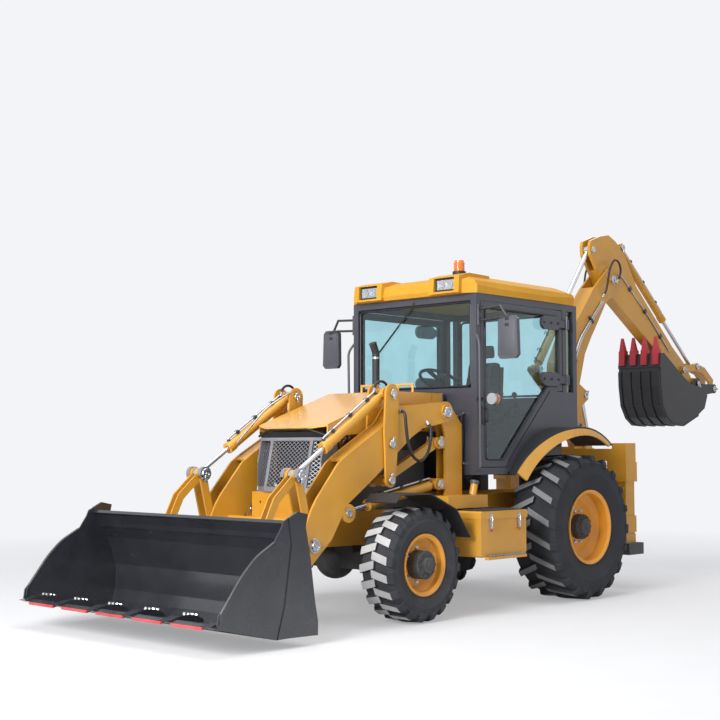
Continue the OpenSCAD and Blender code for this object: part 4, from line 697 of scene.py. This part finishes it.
def hose(name, points, diameter, body, way=1):
    # a hose with a steel ferrule at both ends
    line = flowing(laid(points, way))
    piece = drawnLine(name, line, diameter, "hoseRubber")
    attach(piece, body)
    ferrule = [(diameter * 0.62, -0.004), (diameter * 0.62, 0.030), (diameter * 0.56, 0.034)]
    ends = [turned(name + "End", ferrule, tip, (inner - tip).normalized(), "zincSteel", None, 16)
            for tip, inner in ((line[0], line[1]), (line[-1], line[-2]))]
    ferrules = together(ends, name + "Ferrules", body)


# Hoses, each from its port to its other port on the same body
hoseKit = dict(tilt=0.026, barrel=0.022, tower=0.020, boom=0.022, rear=0.022, rearSpread=0.055, rearLow=0.95)
tiltRun = [
    (2.120, 0.637, 1.650), (2.126, 0.685, 1.654), (2.130, 0.712, 1.620), (2.122, 0.716, 1.530),
    (2.098, 0.716, 1.400), (2.040, 0.716, 1.295), (1.955, 0.716, 1.255), (1.870, 0.714, 1.300),
    (1.815, 0.708, 1.400), (1.785, 0.685, 1.520), (1.775, 0.637, 1.570)]
barrelRun = [
    (2.318, 0.545, 1.806), (2.300, 0.545, 1.862), (2.255, 0.545, 1.893), (2.195, 0.545, 1.888),
    (2.152, 0.545, 1.846), (2.140, 0.545, 1.780), (2.136, 0.545, 1.706)]
for side, way in bothSides:
    hose("tiltHose_" + side, tiltRun, hoseKit["tilt"], "loader_arms", way)
    hose("barrelHose_" + side, barrelRun, hoseKit["barrel"], "tilt_barrels", way)
    for k in range(4):
        y, out = 0.500 + 0.032 * k, 0.012 * k
        towerRun = [
            (1.232, y, 1.160 + 0.02 * k), (1.262, y, 1.180 + 0.02 * k), (1.268, y, 1.300),
            (1.258, y, 1.420 + out), (1.262, y, 1.500 + out), (1.276, y, 1.560 + out),
            (1.262, y, 1.610 + out), (1.232, y, 1.620 + out)]
        hose(f"towerHose{k}_{side}", towerRun, hoseKit["tower"], "machine", way)
hose("boomHoseA", [
    (-1.720, 0.098, 2.950), (-1.740, 0.130, 3.020), (-1.760, 0.142, 3.130), (-1.800, 0.145, 3.260),
    (-1.880, 0.145, 3.350), (-1.965, 0.143, 3.340), (-2.018, 0.135, 3.262), (-2.016, 0.118, 3.182),
    (-1.998, 0.096, 3.130)], hoseKit["boom"], "boom")
hose("boomHoseB", [
    (-1.700, -0.098, 2.930), (-1.720, -0.130, 3.010), (-1.740, -0.142, 3.120), (-1.780, -0.145, 3.250),
    (-1.860, -0.145, 3.340), (-1.955, -0.143, 3.335), (-2.010, -0.135, 3.260), (-2.015, -0.118, 3.180),
    (-2.000, -0.098, 3.130)], hoseKit["boom"], "boom")
for k in range(4):
    y, low = (k - 1.5) * hoseKit["rearSpread"], hoseKit["rearLow"] - 0.02 * k
    hose(f"rearHose{k}", [
        (-0.296, y, 1.330), (-0.350, y, 1.325), (-0.420, y, 1.260), (-0.470, y, 1.120),
        (-0.500, y, low + 0.05), (-0.560, y, low - 0.06), (-0.650, y, low - 0.06), (-0.700, y, low + 0.03),
        (-0.720, y, low + 0.16), (-0.760, y, 1.200), (-0.840, y, 1.250), (-0.996, y, 1.255)],
        hoseKit["rear"], "machine")
print("stage 7: hoses")

# Boom and dipper: steel tubes with their clamps on both sides
boomKit = dict(tube=0.016, pitch=0.030)
boomRun = [(-1.392, 0.098, 1.330), (-1.372, 0.108, 1.440), (-1.150, 0.108, 1.700), (-1.080, 0.108, 2.050),
           (-1.300, 0.108, 2.480), (-1.720, 0.108, 2.900)]
boomClamps = [(-1.255, 1.570, 40), (-1.100, 1.880, 12), (-1.175, 2.260, -26), (-1.500, 2.690, -45)]
dipperRun = [(-2.060, 0.066, 3.230), (-2.150, 0.074, 3.200), (-2.700, 0.074, 2.790), (-3.050, 0.074, 2.500),
             (-3.120, 0.066, 2.440)]
dipperClamps = [(-2.300, 3.088), (-2.600, 2.865), (-2.920, 2.608)]
for side, way in bothSides:
    for k in range(2):
        run = laid([(x + boomKit["pitch"] * k, y, z) for x, y, z in boomRun], way)
        tube(f"boomTube{k}_{side}", run, boomKit["tube"], "zincSteel", "boom", 0.09)
    for n, (x, z, lean) in enumerate(boomClamps):
        block(f"boomClamp{n}_{side}", (x - 0.030, 0.094, z - 0.014), (x + 0.060, 0.120, z + 0.014),
              "darkSteel", "boom", lean=lean, way=way)
    tube("dipperTube_" + side, laid(dipperRun, way), boomKit["tube"], "zincSteel", "dipper", 0.06)
    for n, (x, z) in enumerate(dipperClamps):
        block(f"dipperClamp{n}_{side}", (x - 0.024, 0.064, z - 0.022), (x + 0.024, 0.086, z + 0.022),
              "darkSteel", "dipper", lean=38, way=way)
print("stage 8: boom and dipper")

# Cab: rubber round the glass, door fittings, rails, mirrors, wiper
cabKit = dict(side=0.727, half=0.652, high=2.618)
half, high = cabKit["half"], cabKit["high"]
for name, x, low, thick in (("windscreenRubber", 1.207, 1.888, 0.024), ("rearRubber", -0.279, 1.858, 0.022)):
    pane = [(x, half, low), (x, half, high), (x, -half, high), (x, -half, low)]
    tube(name, laid(pane), thick, "hoseRubber", "machine", closed=True)
doorGlass = [(0.010, 1.925), (0.010, 2.570), (1.105, 2.570), (1.105, 1.260), (0.850, 1.260), (0.815, 1.300),
             (0.190, 1.925)]
doorHandle = [(1.132, 0.738, 1.580), (1.132, 0.772, 1.592), (1.132, 0.772, 1.690), (1.132, 0.738, 1.702)]
doorRail = [(0.240, 0.690, 1.800), (0.240, 0.655, 1.790), (0.720, 0.655, 1.400), (0.720, 0.690, 1.390)]
pillarRail = [(1.215, 0.722, 1.165), (1.232, 0.768, 1.190), (1.244, 0.775, 2.250), (1.215, 0.722, 2.330)]
for side, way in bothSides:
    door = side + "_door"
    tube("doorRubber_" + side, laid([(x, cabKit["side"], z) for x, z in doorGlass], way), 0.018,
         "hoseRubber", door, 0.04, True)
    block("doorLock_" + side, (1.112, 0.722, 1.560), (1.152, 0.742, 1.720), "blackPlastic", door, 0.007,
          steps=3, way=way)
    tube("doorHandle_" + side, laid(doorHandle, way), 0.015, "blackPlastic", door, 0.02)
    tube("doorRail_" + side, laid(doorRail, way), 0.020, "blackPlastic", door, 0.04)
    scatter(blackBolt, "hingeBolts_" + side,
            [outward(x, 0.763, z, way, 0.8) for x in (0.060, 0.170, 0.280) for z in (1.985, 2.500)], door)
    tube("pillarRail_" + side, laid(pillarRail, way), 0.022, "greyPlastic", "machine", 0.06)
    block("mirrorGlass_" + side, (1.1645, 0.956, 2.128), (1.1675, 1.134, 2.452),
          "mirrorGlass", "machine", 0.001, way=way)
    block("mirrorRib_" + side, (1.2065, 0.968, 2.140), (1.2085, 1.122, 2.440),
          "greyPlastic", "machine", 0.001, way=way)
    for z in (2.445, 2.395):
        block(f"mirrorClamp{int(z * 1000)}_{side}", (1.170, 1.020, z - 0.012), (1.212, 1.060, z + 0.012),
              "blackPlastic", "machine", way=way)
    scatter(blackBolt, "mirrorBolts_" + side,
            [outward(1.195, 0.7485, z, way, 0.6) for z in (2.425, 2.475, 2.525, 2.575)], "machine")
wiper = dict(pivot=(1.216, 0.020, 2.640), tip=(1.214, -0.345, 2.296),
             blade=[(1.211, -0.170, 2.462), (1.211, -0.480, 2.168)])
tube("wiperArm", laid([wiper["pivot"], wiper["tip"]]), 0.011, "blackPlastic", "machine")
tube("wiperBlade", laid(wiper["blade"]), 0.016, "hoseRubber", "machine")
turned("wiperPivot", [(0.020, -0.012), (0.020, 0.006), (0.014, 0.012)], at(*wiper["pivot"]), (1, 0, 0),
       "blackPlastic", "machine", 20)
print("stage 9: cab fittings")

# Lamps: beacon, bezels and bowls of the roof lamps, turn lamps
beacon = dict(x=1.000, y=0.360, base=2.878, ribs=6)
rib = turned("rib", [(0.0475, 0.0), (0.0498, 0.002), (0.0498, 0.0045), (0.0475, 0.0065)], *upright,
             "amberLens", None, 48)
ribSpots = [Matrix.Translation(at(beacon["x"], beacon["y"], beacon["base"] + 0.052 + 0.013 * k))
            for k in range(beacon["ribs"])]
scatter(rib, "beaconRibs", ribSpots, "machine")
turned("beaconBand", [(0.0603, 0.0), (0.0612, 0.003), (0.0612, 0.012), (0.0603, 0.015)],
       at(beacon["x"], beacon["y"], beacon["base"] + 0.012), (0, 0, 1), "blackPlastic", "machine", 48)
bowl = turned(
    "bowl", [(0.034, 0.0), (0.036, 0.002), (0.036, 0.006), (0.033, 0.006), (0.028, 0.003), (0.010, 0.002),
             (0.009, 0.007), (0.004, 0.009)], (0, 0, 0), (1, 0, 0), "clearLens", None)
bezel = [(1.301, 0.346, 2.722), (1.301, 0.554, 2.722), (1.301, 0.554, 2.822), (1.301, 0.346, 2.822)]
lampRim = [(0.0475, 0.0), (0.0500, 0.002), (0.0500, 0.010), (0.0475, 0.012)]
for side, way in bothSides:
    tube("lampBezel_" + side, laid(bezel, way), 0.015, "blackPlastic", "machine", 0.02, True)
    scatter(bowl, "lampBowls_" + side,
            [Matrix.Translation(at(1.3025, way * y, 2.772)) for y in (0.402, 0.498)], "machine")
    turned("turnLampRim_" + side, lampRim, at(1.184, way * 0.880, 1.775), (1, 0, 0),
           "blackPlastic", "machine", 40)
hatchSeal = [(0.224, 0.336, 2.884), (0.796, 0.336, 2.884), (0.796, -0.336, 2.884), (0.224, -0.336, 2.884)]
tube("hatchSeal", laid(hatchSeal), 0.014, "hoseRubber", "machine", closed=True)
print("stage 10: lamps")

# Hood: cowl seal, side seams, latches; exhaust mouth and clamps
hoodKit = dict(back=1.290, half=0.403, seam=1.430, pipe=(1.440, -0.245))
back, half, seam = hoodKit["back"], hoodKit["half"], hoodKit["seam"]
tube("cowlSeal", laid([(back, half, 1.505), (back, half, 1.832), (back, -half, 1.832), (back, -half, 1.505)]),
     0.018, "hoseRubber", "hood", 0.05)
tube("noseSeal", laid([
    (2.690, 0.398, 1.452), (2.700, 0.398, 1.456), (2.746, 0.230, 1.508), (2.746, -0.230, 1.508),
    (2.700, -0.398, 1.456), (2.690, -0.398, 1.452)]), 0.016, "hoseRubber", "hood", 0.03)
for side, way in bothSides:
    block("hoodSeam_" + side, (seam - 0.002, 0.3990, 1.505), (seam + 0.002, 0.4008, 1.824),
          "hoseRubber", "hood", 0.0004, way=way)
    for n, x in enumerate((1.560, 2.180)):
        block(f"hoodLatch{n}_{side}", (x - 0.018, 0.398, 1.512), (x + 0.018, 0.414, 1.572),
              "blackPlastic", "hood", 0.005, way=way)
turned("exhaustMouth", [
    (0.0335, -0.012), (0.0355, -0.008), (0.0355, 0.001), (0.0285, 0.002), (0.0275, -0.060)],
    at(1.482, -0.245, 2.292), (0.434, 0, 0.901), "darkSteel", "hood", 36)
for n, z in enumerate((1.905, 2.150)):
    turned(f"exhaustClamp{n}", [(0.0332, 0.0), (0.0352, 0.002), (0.0352, 0.018), (0.0332, 0.020)],
           at(*hoodKit["pipe"], z), (0, 0, 1), "zincSteel", "hood", 36)
print("stage 11: hood and exhaust")

# Toolbox, tank and steps: latches, mat, serrated tread, filler cap
boxKit = dict(matRibs=13, teeth=26, latches=(1.077, 1.457), neckLean=14)
paintFaces("side_boxes", "zincSteel", lambda x, y, z, n: abs(y) > 1.0385 and 0.68 < z < 0.83
           and min(abs(x - latch) for latch in boxKit["latches"]) < 0.019)
mat = [block("boxMat", (0.985, 0.668, 0.8415), (1.530, 1.028, 0.8475), "hoseRubber", None, 0.002)]
for k in range(boxKit["matRibs"]):
    y = 0.682 + 0.0275 * k
    mat.append(block("matRib", (0.995, y, 0.847), (1.520, y + 0.010, 0.8505), "hoseRubber", None, 0.0015,
                     steps=1))
boxMat = together(mat, "boxMat_left", "machine")
otherMat = copied(boxMat)
otherMat.name = "boxMat_right"
otherMat.data.transform(Matrix.Diagonal((1, -1, 1, 1)))
otherMat.data.flip_normals()
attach(otherMat, "machine")
tooth = block("tooth", (origin, -0.010, 0), (origin + 0.010, 0.010, 0.012), "zincSteel", None, 0.002, steps=1)
for side, way in bothSides:
    scatter(tooth, "stepTeeth_" + side, [Matrix.Translation(at(1.010 + 0.0193 * k, way * 1.062, 0.4755))
                                         for k in range(boxKit["teeth"])], "machine")
    rivet = turned("rivet", [(0.007, 0.0), (0.007, 0.006), (0.0045, 0.008)], (0, 0, 0), (0, way, 0),
                   "zincSteel", None, 16)
    scatter(rivet, "latchRivets_" + side, [Matrix.Translation(at(x, way * 1.0555, z))
                                           for x in boxKit["latches"] for z in (0.705, 0.805)], "machine")
    bpy.data.objects.remove(rivet)
    block("stepTread_" + side, (1.006, 1.046, 0.4735), (1.514, 1.073, 0.4765), "castIron", "machine", 0.001,
          way=way)
    for n, x in enumerate(boxKit["latches"]):
        tube(f"latchLever{n}_{side}", laid([
            (x - 0.007, 1.057, 0.812), (x, 1.069, 0.780), (x + 0.006, 1.069, 0.720),
            (x - 0.004, 1.057, 0.698)], way), 0.009, "chromeRod", "machine", 0.015)
        block(f"latchTag{n}_{side}", (x - 0.012, 1.0555, 0.676), (x + 0.012, 1.0600, 0.700),
              "toothRed", "machine", 0.001, way=way)
neckLean = math.radians(boxKit["neckLean"])
neck = Vector((-math.sin(neckLean), 0, math.cos(neckLean)))
cap = [(0.034, -0.002), (0.039, 0.001), (0.041, 0.006), (0.041, 0.024), (0.036, 0.030), (0.012, 0.032)]
for side, way in bothSides:
    turned("fillerCap_" + side, cap, at(1.240, way * 0.690, 0.960) + neck * 0.096, neck,
           "greyPlastic", "machine", 18)
print("stage 12: boxes and steps")

# Loader bucket: adapter bolts, wear strips, rims; lip is the edge's tip
lip = dict(x=4.440, z=0.200, pitch=0.428, teeth=6)
lipX, lipZ = lip["x"], lip["z"]
toothY = [lip["pitch"] * (k - 2.5) for k in range(lip["teeth"])]
paintFaces("loader_bucket", "toothRed", lambda x, y, z, n: x > lipX - 0.011 and n.x > 0.5 and z < lipZ + 0.004
           and min(abs(y - c) for c in toothY) > 0.046 and abs(y) < 1.12)
strips = [block("strip", (lipX - 0.026, y + 0.052, lipZ - 0.015),
                (lipX + 0.032, y + lip["pitch"] - 0.052, lipZ + 0.0055), "toothRed", None, 0.003, 14)
          for y in toothY[:-1]]
together(strips, "wearStrips", "loader_bucket")
adapterBolts = [(-0.215, 0.018, -0.5), (-0.150, 0.033, -0.1)]
scatter(boltMaster, "adapterBolts", [
    facing(at(lipX + x, y + off, lipZ + z), (lean, 0, 1), 1.15)
    for y in toothY for x, z, lean in adapterBolts for off in (-0.022, 0.022)], "loader_bucket")
bucketRim = [(-0.022, 0.034), (-0.024, 0.084), (-0.096, 0.176), (-0.208, 0.320), (-0.330, 0.434),
             (-0.492, 0.520)]
for side, way in bothSides:
    tube("bucketRim_" + side, laid([(lipX + x, 1.138, lipZ + z) for x, z in bucketRim], way), 0.020,
         "darkSteel", "loader_bucket", 0.06)
print("stage 13: bucket")

# Grille frame and nose, and a steel line over the right loader arm
for side, way in bothSides:
    tube("grilleEdge_" + side, laid([(2.745, 0.366, 1.010), (2.652, 0.366, 1.440)], way), 0.014,
         "greyMesh", "machine")
tube("grilleFoot", laid([(2.742, 0.370, 1.008), (2.794, 0.232, 1.008), (2.794, -0.232, 1.008),
                         (2.742, -0.370, 1.008)]), 0.016, "greyMesh", "machine", 0.02)
tube("armLine", laid([
    (2.890, -0.4590, 1.396), (2.860, -0.4560, 1.430), (2.560, -0.4560, 1.700), (2.300, -0.4560, 1.830),
    (2.180, -0.4590, 1.850)]), 0.016, "zincSteel", "loader_arms", 0.08)
print("stage 14: grille and arm line")

# Operator's place: console fittings, levers, floor mat
boot = [(0.062, 0.0), (0.066, 0.012), (0.056, 0.022), (0.060, 0.034), (0.048, 0.046), (0.051, 0.058),
        (0.040, 0.070), (0.034, 0.074)]
column = (-0.469, 0, 0.883)
turned("columnBoot", boot, at(0.990, 0, 1.748), (-0.474, 0, 0.880), "hoseRubber", "machine", 36)
turned("wheelCap", [(0.046, 0.0), (0.048, 0.004), (0.046, 0.016), (0.034, 0.024), (0.010, 0.027)],
       at(0.848, 0, 1.982), column, "blackPlastic", "machine", 36)
turned("spinnerKnob", [
    (0.008, 0.0), (0.008, 0.020), (0.019, 0.026), (0.024, 0.040), (0.020, 0.054), (0.008, 0.059)],
    at(0.768, 0.150, 1.950), column, "blackPlastic", "machine", 28)
block("gaugePanel", (0.940, -0.105, 1.742), (1.085, 0.105, 1.775), "greyPlastic", "machine", 0.010, -12, 3)
dial = turned("dial", [
    (0.024, 0.0), (0.026, 0.003), (0.026, 0.006), (0.022, 0.006), (0.0215, 0.004), (0.004, 0.004)],
    (0, 0, 0), (-0.2, 0, 1), "clearLens", None, 28)
scatter(dial, "dials", [Matrix.Translation(at(1.012, y, 1.774)) for y in (-0.062, 0.0, 0.062)], "machine")
for side, way in bothSides:
    turned("leverBoot_" + side, boot, at(-0.168, way * 0.120, 1.655), (0.22, 0, 0.976),
           "hoseRubber", "machine")
mat = [block("floorMat", (0.160, -0.600, 1.188), (0.900, 0.600, 1.196), "hoseRubber", None, 0.003)]
for k in range(12):
    y = 0.1 * k
    mat.append(block("floorRib", (0.180, -0.580 + y, 1.195), (0.880, -0.560 + y, 1.199), "hoseRubber", None,
                     0.002, steps=1))
together(mat, "floorMatRibbed", "machine")
print("stage 15: operator's place")


def stuffed(name, low, high, cap, lean=0, narrow=0.0, droop=0.0, voxel=0.016, way=1):
    # a foam pad: a rounded box, narrower at its top or drooping at its front, swollen by a short cloth run
    pad = rawBox(low, high, way)
    editAll()
    bpy.ops.mesh.subdivide(number_cuts=3)
    bpy.ops.object.mode_set(mode="OBJECT")
    reach = max(v.co.z for v in pad.data.vertices)
    for vertex in pad.data.vertices:
        if vertex.co.z > 0:
            vertex.co.y *= 1 - narrow * (vertex.co.z / reach)
        if vertex.co.x > 0:
            vertex.co.z -= droop * (vertex.co.x / (high[0] - low[0])) ** 2
    roundEdges(pad, 0.022, 3)
    pad.rotation_euler = (0, math.radians(lean), 0)
    only(pad)
    bpy.ops.object.transform_apply(location=True, rotation=True, scale=True)
    pad.data.remesh_voxel_size = voxel
    bpy.ops.object.voxel_remesh()
    before = [v.co.copy() for v in pad.data.vertices]
    cloth = pad.modifiers.new("swell", "CLOTH")
    cloth.settings.use_pressure = True
    cloth.settings.uniform_pressure_force = 4.0
    cloth.settings.effector_weights.gravity = 0.0
    for step in range(1, 21):
        bpy.context.scene.frame_set(step)
    only(pad)
    bpy.ops.object.modifier_apply(modifier="swell")
    for vertex, start in zip(pad.data.vertices, before):
        move = vertex.co - start
        if move.length > cap:
            vertex.co = start + move.normalized() * cap
    bpy.context.scene.frame_set(1)
    soft = pad.modifiers.new("soft", "SUBSURF")
    soft.levels = 1
    soft.render_levels = 1
    bpy.ops.object.modifier_apply(modifier="soft")
    settle(pad, name, "chairCloth", "machine", 180.0)
    return pad


# Operator's chair, in place of the plain solids: foam pads on a pedestal with a bellows
cushion = stuffed("chairCushion", (0.255, -0.222, 1.578), (0.722, 0.222, 1.660), 0.024, droop=0.018)
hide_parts("operator_seat")
stuffed("chairBack", (0.165, -0.205, 1.690), (0.255, 0.205, 2.180), 0.020, -7, narrow=0.18)
stuffed("headPad", (0.160, -0.110, 2.205), (0.208, 0.110, 2.325), 0.012, -5, narrow=0.12)
armBracket = [(0.235, 1.680), (0.300, 1.680), (0.310, 1.838), (0.500, 1.844), (0.250, 1.852)]
backPiping = [(0.262, 0.120, 1.740), (0.238, 0.112, 1.940), (0.205, 0.100, 2.140)]
seatPiping = [(0.300, 0.130, 1.676), (0.500, 0.130, 1.680), (0.700, 0.130, 1.650)]
headPost = [(0.190, 0.060, 2.150), (0.184, 0.060, 2.230)]
for side, way in bothSides:
    stuffed("armPad_" + side, (0.265, 0.236, 1.842), (0.555, 0.288, 1.880), 0.006, voxel=0.012, way=way)
    plate("armBracket_" + side, armBracket, way * 0.234, way * 0.246, "blackPlastic", "machine")
    tube("backPiping_" + side, laid(backPiping, way), 0.006, "hoseRubber", "machine")
    tube("cushionPiping_" + side, laid(seatPiping, way), 0.006, "hoseRubber", "machine")
    tube("headPost_" + side, laid(headPost, way), 0.012, "zincSteel", "machine")
turned("bellows", [
    (0.190, 0.0), (0.206, 0.035), (0.186, 0.070), (0.204, 0.105), (0.184, 0.140), (0.202, 0.175),
    (0.182, 0.210), (0.198, 0.240), (0.176, 0.262)],
    at(0.470, 0, 1.250), (0, 0, 1), "hoseRubber", "machine", 48)
block("chairFoot", (0.300, -0.160, 1.189), (0.640, 0.160, 1.252), "blackPlastic", "machine", 0.010)
block("chairPan", (0.262, -0.205, 1.508), (0.690, 0.205, 1.566), "blackPlastic", "machine", 0.014, 0, 3)
plate("chairSpine", [
    (0.150, 1.560), (0.270, 1.520), (0.270, 1.560), (0.190, 1.660), (0.140, 2.120), (0.118, 2.120)],
    -0.180, 0.180, "blackPlastic", "machine", 0.008)
print("stage 16: chair")

for spare in (boltMaster, pinMaster, blackBolt, clamp, rib, bowl, dial, tooth):
    bpy.data.objects.remove(spare)

# Camera, floor and light
shot = dict(place=(9.759, 7.604, 1.366), heading=43.46, rise=3.845, lens=64.8)
camData = bpy.data.cameras.new("camera")
camData.lens = shot["lens"]
camData.sensor_width = 36.0
camData.clip_end = 200.0
camera = bpy.data.objects.new("camera", camData)
bpy.context.scene.collection.objects.link(camera)
camera.location = shot["place"]
turn, rise = math.radians(shot["heading"]), math.radians(shot["rise"])
sight = Vector((-math.cos(turn) * math.cos(rise), -math.sin(turn) * math.cos(rise), math.sin(rise)))
camera.rotation_euler = sight.to_track_quat("-Z", "Y").to_euler()
bpy.context.scene.camera = camera


def mixShader(tree, mask, first, second):
    made = addNode(tree, "ShaderNodeMixShader")
    return fill(made, {0: mask, 1: first.outputs[0], 2: second.outputs[0]}).outputs[0]


studio = dict(tone=(0.90, 0.905, 0.93, 1), floorNear=3.5, floorFar=10.0, floorLift=0.35, sky=0.55)
startClean()
bpy.ops.mesh.primitive_plane_add(size=120.0, location=(0, 0, 0))
floor = bpy.context.active_object
floor.name = "studioFloor"
floorMat, tree, shader = newFinish("paleFloor")
where = objectCoords(tree)
mottle = mixColor(tree, noise(tree, where, Scale=3.0, Detail=5.0), (0.70, 0.70, 0.71), (0.76, 0.76, 0.77))
fill(shader, {"Base Color": mottle, "Roughness": 0.9})
# far off, and only as the camera sees it, the floor takes the backdrop's tone, so no horizon shows
reach = fill(addNode(tree, "ShaderNodeVectorMath", operation="LENGTH"), {0: where}).outputs["Value"]
far = remap(tree, reach, studio["floorNear"], studio["floorFar"], studio["floorLift"], 1.0)
fade = times(tree, far, addNode(tree, "ShaderNodeLightPath").outputs["Is Camera Ray"])
paleTone = addNode(tree, "ShaderNodeEmission", Color=studio["tone"], Strength=1.0)
fill(tree.nodes["Material Output"], {"Surface": mixShader(tree, fade, shader, paleTone)})
floor.data.materials.append(floorMat)

world = bpy.data.worlds.new("studio")
bpy.context.scene.world = world
world.use_nodes = True
tree = world.node_tree
tree.nodes.clear()
sky = addNode(tree, "ShaderNodeBackground", Color=(0.93, 0.96, 1.0, 1), Strength=studio["sky"])
pale = addNode(tree, "ShaderNodeBackground", Color=studio["tone"], Strength=1.0)
rays = addNode(tree, "ShaderNodeLightPath").outputs
seen = calc(tree, "MAXIMUM", rays["Is Camera Ray"], rays["Is Glossy Ray"])
seen = calc(tree, "MAXIMUM", seen, rays["Is Transmission Ray"])
addNode(tree, "ShaderNodeOutputWorld", Surface=mixShader(tree, seen, sky, pale))

lamps = [
    dict(name="frontLight", place=(10.3, 2.1, 4.1), aim=(1.5, 0, 0.8), size=4.0, power=980.0),
    dict(name="topLight", place=(2.0, 0.5, 9.5), aim=(0.5, 0, 1.2), size=6.0, power=330.0),
    dict(name="sideLight", place=(3.0, 10.0, 5.0), aim=(0, 0, 1.2), size=6.0, power=60.0),
    dict(name="backLight", place=(-9.0, -3.0, 7.0), aim=(-1.0, 0, 1.5), size=5.0, power=130.0),
]
for lamp in lamps:
    lightData = bpy.data.lights.new(lamp["name"], "AREA")
    lightData.shape = "DISK"
    lightData.size = lamp["size"]
    lightData.energy = lamp["power"]
    light = bpy.data.objects.new(lamp["name"], lightData)
    bpy.context.scene.collection.objects.link(light)
    light.location = lamp["place"]
    light.rotation_euler = (Vector(lamp["aim"]) - Vector(lamp["place"])).to_track_quat("-Z", "Y").to_euler()
bpy.context.scene.view_settings.view_transform = "Standard"
print("stage 17: camera, floor and light")
